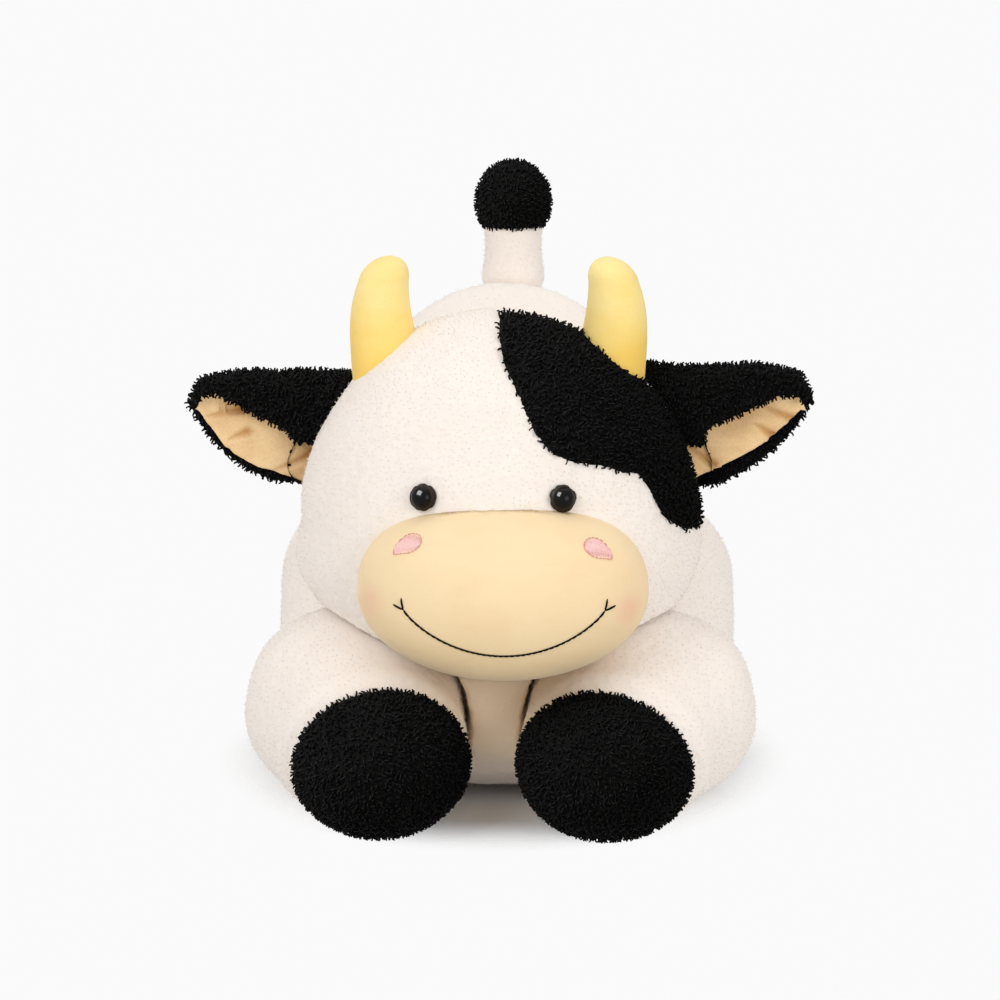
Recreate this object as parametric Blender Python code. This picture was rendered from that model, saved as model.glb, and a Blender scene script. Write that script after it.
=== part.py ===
# Plush cow lying on its belly, legs stretched forward and tail up.
# Metres, +Z up. The cow looks along -Y, and its own left side is at +X.
# A cover is a shell of cloth and flattened pile, and a filling is the stuffing inside it.
import math

import bmesh
import bpy
from mathutils import Matrix, Vector

# Cloth, running gap and the flat that rests on the floor
GAP = 0.0003
FILLING_GAP = 0.0010
WALL = 0.004
FLOOR_CUT = 0.0005
NECK_BEFORE_MIDDLE = 0.005

# Body: a low neck ball in front, and a rump that swells behind it
NECK_RADIUS = 0.088
NECK_HALF_WIDTH = 0.098
NECK_HEIGHT = 0.125
NECK_TO_RUMP = 0.080
NECK_HOLE_RADIUS = 0.024
RUMP_HEIGHT = 0.266
RUMP_HALF_WIDTH = 0.105
RUMP_LENGTH = 0.1223
BELLY_POWER = 2.6
CHEST_POWER_SHARE = 0.20
CHEST_AHEAD = 0.030

# Head: half ellipsoids that are tall above the cheeks and short below them
HEAD_HALF_WIDTH = 0.112
HEAD_CROWN = 0.126
HEAD_CHIN = 0.080
HEAD_HALF_DEPTH = 0.090
CHEEK_HEIGHT = 0.145
HEAD_AHEAD_OF_NECK = 0.065
NOD_UP = math.radians(12)
NOD_PLAY = math.radians(0.7)

# The black patch in the head cover, drawn from the front on the cow's left
PATCH_OUTLINE_SHARES = (
    (0.020, 1.100), (0.004, 0.950), (0.035, 0.830), (0.095, 0.725), (0.140, 0.635),
    (0.190, 0.560), (0.270, 0.475), (0.370, 0.437), (0.520, 0.412), (0.600, 0.378),
    (0.670, 0.370), (0.715, 0.320), (0.755, 0.250), (0.795, 0.178), (0.865, 0.115),
    (0.940, 0.075), (1.150, 0.070), (1.150, 1.100),
)
PATCH_SEAM = 0.003
PATCH_MIDDLE_SHARE = 0.6

# Muzzle
MUZZLE_HALF_WIDTH = 0.0772
MUZZLE_HALF_HEIGHT = 0.0475
MUZZLE_DEPTH = 0.050
MUZZLE_AHEAD_OF_HEAD = 0.075
MUZZLE_BELOW_CHEEKS = 0.013
MUZZLE_ASIDE = 0.005

# Eyes: a dome on a shank, held by a washer inside the head cover
EYE_DIAMETER = 0.0145
EYE_THICKNESS = 0.0070
EYE_APART = 0.073
EYE_HEIGHT = 0.1835
SHANK_DIAMETER = 0.0045
SHANK_LENGTH = 0.0140
SHANK_CLEARANCE = 0.0004
WASHER_DIAMETER = 0.0170
WASHER_THICKNESS = 0.0016
WASHER_CLEARANCE = 0.0012

# Horns
HORN_BASE_RADIUS = 0.0200
HORN_TIP_RADIUS = 0.0137
HORN_BOW = 0.0035
HORN_TOP = 0.3005
HORN_ROOT_HEIGHT = 0.2200
HORN_ROOT_APART = 0.118
HORN_TIP_APART = 0.1225

# Ears: a leaf of black cloth folded over a cream lining, turning at its root seam
EAR_REACH = 0.1783
EAR_TIP_HEIGHT = 0.2300
EAR_TOP_HEIGHT = 0.2403
EAR_ROOT_TOP_HEIGHT = 0.2300
EAR_ROOT_LENGTH = 0.0600
EAR_ROOT_TOP_OUT = 0.0870
EAR_ROOT_FOOT_OUT = 0.1120
EAR_BACK = 0.012
EAR_CLOTH = 0.0045
EAR_LINING = 0.0025
EAR_ROOT_RADIUS = 0.0105
EAR_FOLD_SLACK = 0.0003
EAR_TIP_FOLD_SHARE = 0.74
EAR_CUT_SHARE = 0.90
EAR_LINING_CUT_SHARE = 0.84
EAR_HEM_SHARE = 0.06
EAR_FLAP_EDGE_SHARE = 0.42
EAR_UPPER_EDGE_SHARES = (0.66, 0.45)
EAR_LOWER_EDGE_SHARES = ((0.12, -0.10), (0.81, 0.14))
EAR_SWING = math.radians(22)

# Front legs: a shoulder ball and a hoof ball in one round cone
SHOULDER_RADIUS = 0.061
SHOULDER_HEIGHT = 0.048
SHOULDER_APART = 0.157
SHOULDER_BEHIND_HOOF = 0.0615
HOOF_AHEAD_OF_NECK = 0.1450
HOOF_RADIUS = 0.0475
HOOF_CROWN = 0.0415
HOOF_HEIGHT = 0.0385
HOOF_APART = 0.121
HOOF_COLLAR = 0.004
FRONT_LEG_OUT = math.radians(26)
FRONT_LEG_IN = math.radians(4)
CHEEK_CLEARANCE = 0.001

# Hind legs: a haunch ball and a smaller hoof ball
HAUNCH_RADIUS = 0.053
HAUNCH_HEIGHT = 0.084
HAUNCH_DROP = 0.066
HAUNCH_APART = 0.168
HAUNCH_BEHIND_NECK = 0.088
HIND_HOOF_RADIUS = 0.040
HIND_HOOF_HEIGHT = 0.038
HIND_HOOF_APART = 0.188
HIND_HOOF_AHEAD = 0.068
HIND_HOOF_COLLAR = 0.003
HIND_LEG_OUT = math.radians(20)
HIND_LEG_IN = math.radians(3)

# Tail: a stub of cloth that ends in a black tuft
TAIL_ROOT_RADIUS = 0.0195
TAIL_SHAFT_RADIUS = 0.0184
TAIL_RISE = 0.0116
TAIL_BEHIND_RUMP = 0.052
TAIL_TOP = 0.333
TUFT_RADIUS = 0.0225
TUFT_HALF_HEIGHT = 0.0250
TAIL_BACK = math.radians(55)
TAIL_FORWARD = math.radians(12)

# Facets: around a form, and in each quarter of its outline
HEAD_FACETS = (32, 8)
BODY_FACETS = (30, 7)
NECK_SEAT_FACETS = (26, 6)
LIMB_FACETS = (20, 3)
TAIL_FACETS = (16, 2)
TRIM_FACETS = (14, 3)
MUZZLE_FACETS = (28, 5)
SEAT_FACETS = (26, 5)
SEAT_PLAY_SHARE = 0.6
INNER_FACETS_SHARE = 0.55
OVERRUN = 0.02

SIDES = (("left", 1), ("right", -1))

# Places that follow from the sizes
NECK_Y = -NECK_BEFORE_MIDDLE
NECK = Vector((0, NECK_Y, NECK_HEIGHT))
HEAD = Vector((0, NECK_Y - HEAD_AHEAD_OF_NECK, CHEEK_HEIGHT))
MUZZLE = HEAD + Vector((MUZZLE_ASIDE, -MUZZLE_AHEAD_OF_HEAD, -MUZZLE_BELOW_CHEEKS))
HOOF_Y = NECK_Y - HOOF_AHEAD_OF_NECK
HAUNCH_Y = NECK_Y + HAUNCH_BEHIND_NECK

for leftover in list(bpy.data.objects):
    bpy.data.objects.remove(leftover)
cutters = bpy.data.collections.new("cutters")
bpy.context.scene.collection.children.link(cutters)


def finish_mesh(name, points, faces):
    """One closed mesh whose faces point outwards."""
    mesh = bpy.data.meshes.new(name)
    mesh.from_pydata([tuple(point) for point in points], [], faces)
    shape = bmesh.new()
    shape.from_mesh(mesh)
    bmesh.ops.recalc_face_normals(shape, faces=shape.faces)
    shape.to_mesh(mesh)
    shape.free()
    mesh.shade_smooth()
    mesh.set_sharp_from_angle(angle=math.radians(40))
    return mesh


def part(name, mesh, colour, roughness, joint=None):
    """A visible piece; its origin is moved to the empty on its joint's axis."""
    piece = bpy.data.objects.new(name, mesh)
    bpy.context.scene.collection.objects.link(piece)
    material = bpy.data.materials.new(name)
    material.use_nodes = True
    surface = material.node_tree.nodes["Principled BSDF"]
    surface.inputs["Base Color"].default_value = (*colour, 1)
    surface.inputs["Roughness"].default_value = roughness
    mesh.materials.append(material)
    if joint:
        mesh.transform(Matrix.Translation(-joint.location))
        piece.parent = joint
    return piece


def cutter(name, mesh):
    tool = bpy.data.objects.new(name, mesh)
    cutters.objects.link(tool)
    tool.hide_render = True
    tool.display_type = "WIRE"
    return tool


def joint_at(name, place):
    empty = bpy.data.objects.new(name, None)
    empty.location = place
    bpy.context.scene.collection.objects.link(empty)
    return empty


def combine(piece, tool, operation="DIFFERENCE"):
    step = piece.modifiers.new(f"{operation.lower()} {tool.name}", "BOOLEAN")
    step.operation = operation
    step.solver = "EXACT"
    step.object = tool


def snug(radius, facets):
    """Play that a faceted seat needs beyond the round ball that turns in it."""
    corner = 1 / math.cos(math.pi / facets[0]) / math.cos(math.pi / 4 / facets[1])
    return radius * (corner - 1)


def inner(facets):
    around, quarter = facets
    return round(around * INNER_FACETS_SHARE), max(2, round(quarter * INNER_FACETS_SHARE))


def ring_stack(name, rings):
    """Bridge rings of equal count; the first and last may be single points."""
    points = []
    faces = []
    starts = []
    for ring in rings:
        starts.append(len(points))
        points.extend(ring)
    for row in range(len(rings) - 1):
        low, high = rings[row], rings[row + 1]
        a, b = starts[row], starts[row + 1]
        count = max(len(low), len(high))
        for i in range(count):
            j = (i + 1) % count
            if len(low) == 1:
                faces.append((a, b + i, b + j))
            elif len(high) == 1:
                faces.append((a + i, b, a + j))
            else:
                faces.append((a + i, b + i, b + j, a + j))
    for ring, start in ((rings[0], starts[0]), (rings[-1], starts[-1])):
        if len(ring) > 1:
            faces.append(tuple(start + i for i in range(len(ring))))
    return finish_mesh(name, points, faces)


def ellipsoid(name, centre, half_width, half_depth, crown, chin, facets):
    """Level rings from the lowest pole to the highest."""
    around, quarter = facets
    rings = []
    for level in range(-quarter, quarter + 1):
        tilt = math.pi / 2 * level / quarter
        rise = math.sin(tilt) * (crown if level > 0 else chin)
        reach = math.cos(tilt)
        if abs(level) == quarter:
            rings.append([centre + Vector((0, 0, rise))])
            continue
        ring = []
        for step in range(around):
            turn = 2 * math.pi * step / around
            side = half_width * reach * math.cos(turn)
            ahead = half_depth * reach * math.sin(turn)
            ring.append(centre + Vector((side, ahead, rise)))
        rings.append(ring)
    return ring_stack(name, rings)


def spun(name, outline, start, axis, facets, settle=None):
    """Turn an outline of (along, radius) points about an axis; radius 0 makes a pole."""
    axis = axis.normalized()
    side = axis.orthogonal().normalized()
    up = axis.cross(side)
    rings = []
    for along, radius in outline:
        centre = start + axis * along
        if radius == 0:
            rings.append([centre])
            continue
        ring = []
        for step in range(facets[0]):
            turn = 2 * math.pi * step / facets[0]
            ring.append(centre + radius * (math.cos(turn) * side + math.sin(turn) * up))
        rings.append(ring)
    if settle:
        rings = [[settle(point) for point in ring] for ring in rings]
    return ring_stack(name, rings)


def arc(centre, radius, first, last, steps, height=None):
    """Points (along, radius) of a turned arc; angles run from the axis."""
    height = height or radius
    points = []
    for step in range(steps + 1):
        angle = first + (last - first) * step / steps
        out = 0 if angle in (0, math.pi) else radius * math.sin(angle)
        points.append((centre + height * math.cos(angle), out))
    return points


# Body

def top_line(along, grow):
    """Height of the body's midline above the neck: a quarter circle, a swell, a quarter ellipse."""
    crown = RUMP_HEIGHT - NECK_HEIGHT + grow
    if along <= 0:
        return math.sqrt(max(0, (NECK_RADIUS + grow) ** 2 - along ** 2))
    if along < NECK_TO_RUMP:
        share = along / NECK_TO_RUMP
        return NECK_RADIUS + grow + (crown - NECK_RADIUS - grow) * share * share * (3 - 2 * share)
    share = min(1, (along - NECK_TO_RUMP) / (RUMP_LENGTH + grow))
    return crown * math.sqrt(1 - share * share)


def raised_line(along, grow, nod):
    """The same line as the raised head meets it: the body turned forward about the neck."""
    samples = 60
    best = top_line(along, grow)
    last = None
    for step in range(samples + 1):
        place = (NECK_TO_RUMP + RUMP_LENGTH / 2) * step / samples
        rise = top_line(place, grow)
        turned = (place * math.cos(nod) - rise * math.sin(nod),
                  place * math.sin(nod) + rise * math.cos(nod))
        if last and last[0] <= along <= turned[0]:
            part_way = (along - last[0]) / (turned[0] - last[0])
            best = max(best, last[1] + (turned[1] - last[1]) * part_way)
        last = turned
    return best


def body_form(name, grow, facets, nod=0):
    """Upright rings from the chest to the rump."""
    around, quarter = facets
    front = NECK_RADIUS + grow
    stations = []
    for step in range(quarter + 1):
        angle = math.pi / 2 * step / quarter
        stations.append((-front * math.cos(angle), math.sin(angle), 0))
    swell_steps = max(3, quarter // 2)
    for step in range(1, swell_steps):
        share = step / swell_steps
        stations.append((NECK_TO_RUMP * share, 1, share * share * (3 - 2 * share)))
    for step in range(quarter + 1):
        angle = math.pi / 2 * step / quarter
        stations.append((NECK_TO_RUMP + (RUMP_LENGTH + grow) * math.sin(angle), math.cos(angle), 1))
    rings = [[NECK + Vector((0, -front, 0))]]
    for along, reach, swell in stations[1:-1]:
        top = raised_line(along, grow, nod)
        width = (NECK_HALF_WIDTH + (RUMP_HALF_WIDTH - NECK_HALF_WIDTH) * swell + grow) * reach
        power = CHEST_POWER_SHARE if along < 0 else 1
        foot = (NECK_HEIGHT + FLOOR_CUT + grow) * reach ** power
        ring = []
        for step in range(around):
            turn = 2 * math.pi * step / around
            side, rise = math.cos(turn), math.sin(turn)
            if rise < 0:
                full = 2 / BELLY_POWER
                side = math.copysign(abs(side) ** full, side)
                rise = -(abs(rise) ** full)
            height = rise * (top if rise > 0 else foot)
            bulge = 0
            if rise < 0 and along < 0:
                bulge = CHEST_AHEAD * -height / NECK_HEIGHT * math.sqrt(-along / front)
            ring.append(NECK + Vector((width * side, along - bulge, height)))
        rings.append(ring)
    rings.append([NECK + Vector((0, stations[-1][0], 0))])
    return ring_stack(name, rings)


def back_height(y):
    """Height of the back's midline behind the rump's middle."""
    share = (y - NECK_Y - NECK_TO_RUMP) / RUMP_LENGTH
    return NECK_HEIGHT + (RUMP_HEIGHT - NECK_HEIGHT) * math.sqrt(1 - share * share)


# Head and what is sewn to it

def head_form(name, grow, facets):
    return ellipsoid(name, HEAD, HEAD_HALF_WIDTH + grow, HEAD_HALF_DEPTH + grow,
                     HEAD_CROWN + grow, HEAD_CHIN + grow, facets)


def muzzle_form(name, grow, facets):
    return ellipsoid(name, MUZZLE, MUZZLE_HALF_WIDTH + grow, MUZZLE_DEPTH + grow,
                     MUZZLE_HALF_HEIGHT + grow, MUZZLE_HALF_HEIGHT + grow, facets)


def patch_prism(name, shrink):
    """The patch's outline drawn through the front half of the head."""
    back = HEAD.y - PATCH_SEAM - shrink
    front = HEAD.y - HEAD_HALF_DEPTH - OVERRUN
    middle_rise = HEAD_CROWN * PATCH_MIDDLE_SHARE
    middle = Vector((HEAD_HALF_WIDTH * PATCH_MIDDLE_SHARE, 0, CHEEK_HEIGHT + middle_rise))
    rings = []
    outline = []
    for side, rise in PATCH_OUTLINE_SHARES:
        corner = Vector((HEAD_HALF_WIDTH * side, 0, CHEEK_HEIGHT + HEAD_CROWN * rise))
        outline.append(corner + (middle - corner).normalized() * shrink)
    for depth in (front, back):
        rings.append([corner + Vector((0, depth, 0)) for corner in outline])
    return ring_stack(name, rings)


def horn_form(name, side, grow, facets):
    """A thumb of cloth that bows outwards and ends in a ball."""
    around, quarter = facets
    root = Vector((side * HORN_ROOT_APART / 2, HEAD.y, HORN_ROOT_HEIGHT))
    tip = Vector((side * HORN_TIP_APART / 2, HEAD.y, HORN_TOP - HORN_TIP_RADIUS))
    rings = []
    for step in range(quarter + 2):
        share = step / (quarter + 1)
        radius = HORN_BASE_RADIUS + (HORN_TIP_RADIUS - HORN_BASE_RADIUS) * share ** 2 + grow
        bow = Vector((side * HORN_BOW * math.sin(math.pi * share ** 2), 0, 0))
        rings.append((root.lerp(tip, share) + bow, radius))
    for step in range(1, quarter + 1):
        angle = math.pi / 2 * step / quarter
        lift = Vector((0, 0, (HORN_TIP_RADIUS + grow) * math.sin(angle)))
        radius = (HORN_TIP_RADIUS + grow) * math.cos(angle) if step < quarter else 0
        rings.append((tip + lift, radius))
    loops = []
    for centre, radius in rings:
        if radius == 0:
            loops.append([centre])
            continue
        turns = [2 * math.pi * step / around for step in range(around)]
        loops.append([centre + radius * Vector((math.cos(t), math.sin(t), 0)) for t in turns])
    return ring_stack(name, loops)


def ear_root(side):
    depth = HEAD.y + EAR_BACK
    foot = Vector((side * EAR_ROOT_FOOT_OUT, depth, EAR_ROOT_TOP_HEIGHT - EAR_ROOT_LENGTH))
    top = Vector((side * EAR_ROOT_TOP_OUT, depth, EAR_ROOT_TOP_HEIGHT))
    return foot, top


def bezier(points, share):
    rest = 1 - share
    weights = (rest ** 3, 3 * rest ** 2 * share, 3 * rest * share ** 2, share ** 3)
    total = Vector((0, 0, 0))
    for weight, point in zip(weights, points):
        total += weight * point
    return total


def ear_edges(side, share):
    """The leaf's lower and upper edge at a share of its length."""
    foot, top = ear_root(side)
    tip = Vector((side * EAR_REACH, foot.y, EAR_TIP_HEIGHT))
    upper = [top]
    for along in EAR_UPPER_EDGE_SHARES:
        upper.append(Vector((top.x + (tip.x - top.x) * along, top.y, EAR_TOP_HEIGHT)))
    lower = [foot]
    for along, rise in EAR_LOWER_EDGE_SHARES:
        height = foot.z + (tip.z - foot.z) * rise
        lower.append(Vector((foot.x + (tip.x - foot.x) * along, foot.y, height)))
    return bezier(lower + [tip], share), bezier(upper + [tip], share)


def ear_fold(share):
    """Half the thickness of the folded leaf."""
    return (EAR_ROOT_RADIUS - EAR_FOLD_SLACK) * (1 - (1 - EAR_TIP_FOLD_SHARE) * share)


def ear_layer(name, side, outside, inside, hem_share, last):
    """One layer of cloth in the fold: up the back, over the top and down the front flap."""
    stations = 9
    rings = []
    for step in range(stations + 1):
        share = last * step / stations
        low, high = ear_edges(side, share)
        rise = (high - low).normalized()
        height = (high - low).length
        fold = ear_fold(share)
        crease = height - fold
        paths = []
        for depth in (outside, inside):
            radius = fold - depth
            hem = hem_share * height
            flap = EAR_FLAP_EDGE_SHARE * height
            path = [(hem + (crease - hem) * s / 3, radius) for s in range(3)]
            for turn in range(7):
                angle = math.pi * turn / 6
                path.append((crease + radius * math.sin(angle), radius * math.cos(angle)))
            path.extend((crease + (flap - crease) * s / 2, -radius) for s in range(1, 3))
            paths.append(path)
        outline = paths[0] + paths[1][::-1]
        rings.append([low + rise * up + Vector((0, across, 0)) for up, across in outline])
    return ring_stack(name, rings)


def ear_barrel(name, side, grow, facets):
    """The gathered root, round about the seam it turns on."""
    foot, top = ear_root(side)
    radius = EAR_ROOT_RADIUS + grow
    length = (top - foot).length
    near, far = EAR_ROOT_RADIUS, length - EAR_ROOT_RADIUS
    outline = arc(near, radius, math.pi, math.pi / 2, facets[1])
    outline += arc(far, radius, math.pi / 2, 0, facets[1])
    return spun(name, outline, foot, top - foot, facets)


# Legs

def cone_outline(first_radius, last_radius, length, quarter):
    """Two balls and the cone that touches both, as (along, radius) points."""
    touch = math.acos((first_radius - last_radius) / length)
    outline = arc(0, first_radius, math.pi, touch, 2 * quarter)
    return outline + arc(length, last_radius, touch, 0, 2 * quarter)


class Leg:
    """A limb that turns about the upright axis through its first ball."""

    def __init__(self, root, hoof, radii, crowns, drops, collar):
        self.root = root
        self.axis = hoof - root
        self.length = self.axis.length
        self.radii = radii
        self.crowns = crowns
        self.drops = drops
        self.seam = self.length - collar

    def settle(self):
        """Press the ball and cone flat above and below, as they lie on the floor."""
        def settled(point):
            share = (point - self.root).dot(self.axis) / self.length ** 2
            share = min(max(share, 0), 1)
            middle = self.root.z + self.axis.z * share
            radius = self.radii[0] + (self.radii[1] - self.radii[0]) * share
            ends = self.crowns if point.z > middle else self.drops
            reach = ends[0] + (ends[1] - ends[0]) * share
            return Vector((point.x, point.y, middle + (point.z - middle) * reach / radius))
        return settled

    def outline(self, grow, quarter):
        return cone_outline(self.radii[0] + grow, self.radii[1] + grow, self.length, quarter)

    def cut_outline(self, grow, quarter, keep_root):
        """The outline up to the hoof seam, or from it, with a point on the seam."""
        points = self.outline(grow, quarter)
        place = self.seam if keep_root else self.seam + GAP
        for (a, ra), (b, rb) in zip(points, points[1:]):
            if a < place <= b:
                seam_radius = ra + (rb - ra) * (place - a) / (b - a)
                seam_point = (place, seam_radius)
        if keep_root:
            return [point for point in points if point[0] < place] + [seam_point]
        return [seam_point] + [point for point in points if point[0] > place]

    def form(self, name, grow, facets):
        outline = self.outline(grow, facets[1])
        return spun(name, outline, self.root, self.axis, facets, self.settle())

    def shell(self, name, keep_root):
        outer = self.cut_outline(0, LIMB_FACETS[1], keep_root)
        lining = self.cut_outline(-WALL, inner(LIMB_FACETS)[1], keep_root)
        if keep_root:
            outline = outer + lining[::-1]
        else:
            outline = outer[::-1] + lining
        return spun(name, outline, self.root, self.axis, LIMB_FACETS, self.settle())

    def seat(self, name, grow, swing, facets):
        """The hollow that the leg lies in, wider at the hoof by its swing towards the middle."""
        grow += snug(self.radii[0], facets) * SEAT_PLAY_SHARE
        room = self.length * math.sin(swing)
        radii = (self.radii[0] + grow, self.radii[1] + grow + room)
        outline = cone_outline(*radii, self.length, facets[1])
        crowns = (self.crowns[0] + grow, self.crowns[1] + grow + room)
        drops = (self.drops[0] + grow, self.drops[1] + grow + room)
        wide = Leg(self.root, self.root + self.axis, radii, crowns, drops, 0)
        return spun(name, outline, self.root, self.axis, facets, wide.settle())


def front_leg(side):
    root = Vector((side * SHOULDER_APART / 2, HOOF_Y + SHOULDER_BEHIND_HOOF, SHOULDER_HEIGHT))
    hoof = Vector((side * HOOF_APART / 2, HOOF_Y, HOOF_HEIGHT))
    radii = (SHOULDER_RADIUS, HOOF_RADIUS)
    crowns = (SHOULDER_RADIUS, HOOF_CROWN)
    drops = (SHOULDER_HEIGHT + FLOOR_CUT, HOOF_HEIGHT + FLOOR_CUT)
    return Leg(root, hoof, radii, crowns, drops, HOOF_COLLAR)


def hind_leg(side):
    root = Vector((side * HAUNCH_APART / 2, HAUNCH_Y, HAUNCH_HEIGHT))
    hoof = Vector((side * HIND_HOOF_APART / 2, HAUNCH_Y - HIND_HOOF_AHEAD, HIND_HOOF_HEIGHT))
    radii = (HAUNCH_RADIUS, HIND_HOOF_RADIUS)
    drops = (HAUNCH_DROP, HIND_HOOF_HEIGHT + FLOOR_CUT)
    return Leg(root, hoof, radii, radii, drops, HIND_HOOF_COLLAR)


# Tail

def tail_root():
    y = NECK_Y + NECK_TO_RUMP + TAIL_BEHIND_RUMP
    return Vector((0, y, back_height(y) + TAIL_RISE))


def tail_outline(grow, quarter, piece):
    """The tail turned about its own length: root ball, shaft and tuft."""
    tuft_middle = TAIL_TOP - tail_root().z - TUFT_HALF_HEIGHT
    meet = math.asin(TAIL_SHAFT_RADIUS / TAIL_ROOT_RADIUS)
    flare = math.pi - math.asin(TAIL_SHAFT_RADIUS / TUFT_RADIUS)
    seam = tuft_middle + TUFT_HALF_HEIGHT * math.cos(flare)
    shaft = TAIL_SHAFT_RADIUS + grow
    root_part = arc(0, TAIL_ROOT_RADIUS + grow, math.pi, meet, 2 * quarter)
    if piece == "shaft":
        return root_part + [(seam, shaft)]
    tuft_part = arc(tuft_middle, TUFT_RADIUS + grow, flare, 0, 2 * quarter, TUFT_HALF_HEIGHT + grow)
    if piece == "tuft":
        return [(seam + GAP, shaft)] + tuft_part[1:]
    return root_part + [(seam, shaft)] + tuft_part[1:]


def make_eyes(head_joint, head_pieces, filling):
    """Dome, shank and washer along the head's own normal at the eye."""
    for label, side in SIDES:
        across = side * EYE_APART / 2
        rise = EYE_HEIGHT - HEAD.z
        reach = 1 - (across / HEAD_HALF_WIDTH) ** 2 - (rise / HEAD_CROWN) ** 2
        ahead = -HEAD_HALF_DEPTH * math.sqrt(reach)
        seat = HEAD + Vector((across, ahead, rise))
        normal = Vector((across / HEAD_HALF_WIDTH ** 2, ahead / HEAD_HALF_DEPTH ** 2,
                         rise / HEAD_CROWN ** 2)).normalized()
        steps = TRIM_FACETS[1]
        outline = [(-SHANK_LENGTH, 0), (-SHANK_LENGTH, SHANK_DIAMETER / 2), (GAP, SHANK_DIAMETER / 2),
                   (GAP, EYE_DIAMETER / 2)]
        rim = EYE_THICKNESS / 4
        outline += arc(rim, EYE_DIAMETER / 2, math.pi / 2, 0, steps, EYE_THICKNESS - rim)
        mesh = spun(f"eye_{label}", outline, seat, normal, TRIM_FACETS)
        part(f"eye_{label}", mesh, (0.01, 0.008, 0.007), 0.08, head_joint)

        back = -WALL - GAP - WASHER_THICKNESS
        hole = SHANK_DIAMETER / 2 + GAP
        ring = [(back, hole), (back, WASHER_DIAMETER / 2),
                (back + WASHER_THICKNESS, WASHER_DIAMETER / 2), (back + WASHER_THICKNESS, hole)]
        mesh = closed_ring(f"eye_washer_{label}", ring, seat, normal, TRIM_FACETS)
        part(f"eye_washer_{label}", mesh, (0.75, 0.75, 0.72), 0.45, head_joint)

        clear = SHANK_DIAMETER / 2 + SHANK_CLEARANCE
        bore = [(-SHANK_LENGTH - OVERRUN, 0), (-SHANK_LENGTH - OVERRUN, clear), (OVERRUN, clear),
                (OVERRUN, 0)]
        drill = cutter(f"shank hole {label}", spun("shank hole", bore, seat, normal, TRIM_FACETS))
        for piece in head_pieces:
            combine(piece, drill)
        pocket = WASHER_DIAMETER / 2 + WASHER_CLEARANCE
        deep = SHANK_LENGTH + WASHER_CLEARANCE
        room = [(-deep, 0), (-deep, pocket), (OVERRUN, pocket), (OVERRUN, 0)]
        hollow = spun("room in the filling", room, seat, normal, TRIM_FACETS)
        combine(filling, cutter(f"room in the filling {label}", hollow))
        bed = [(-deep, 0), (-deep, pocket), (-WALL, pocket), (-WALL, 0)]
        recess = cutter(f"washer bed {label}", spun("washer bed", bed, seat, normal, TRIM_FACETS))
        for piece in head_pieces:
            combine(piece, recess)


def closed_ring(name, outline, start, axis, facets):
    """A washer: a closed outline turned about an axis it doesn't touch."""
    axis = axis.normalized()
    side = axis.orthogonal().normalized()
    up = axis.cross(side)
    count, corners = facets[0], len(outline)
    points = []
    faces = []
    for step in range(count):
        turn = 2 * math.pi * step / count
        out = math.cos(turn) * side + math.sin(turn) * up
        points.extend(start + axis * along + out * radius for along, radius in outline)
        for corner in range(corners):
            other = (corner + 1) % corners
            here, there = step * corners, (step + 1) % count * corners
            faces.append((here + corner, here + other, there + other, there + corner))
    return finish_mesh(name, points, faces)


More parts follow.
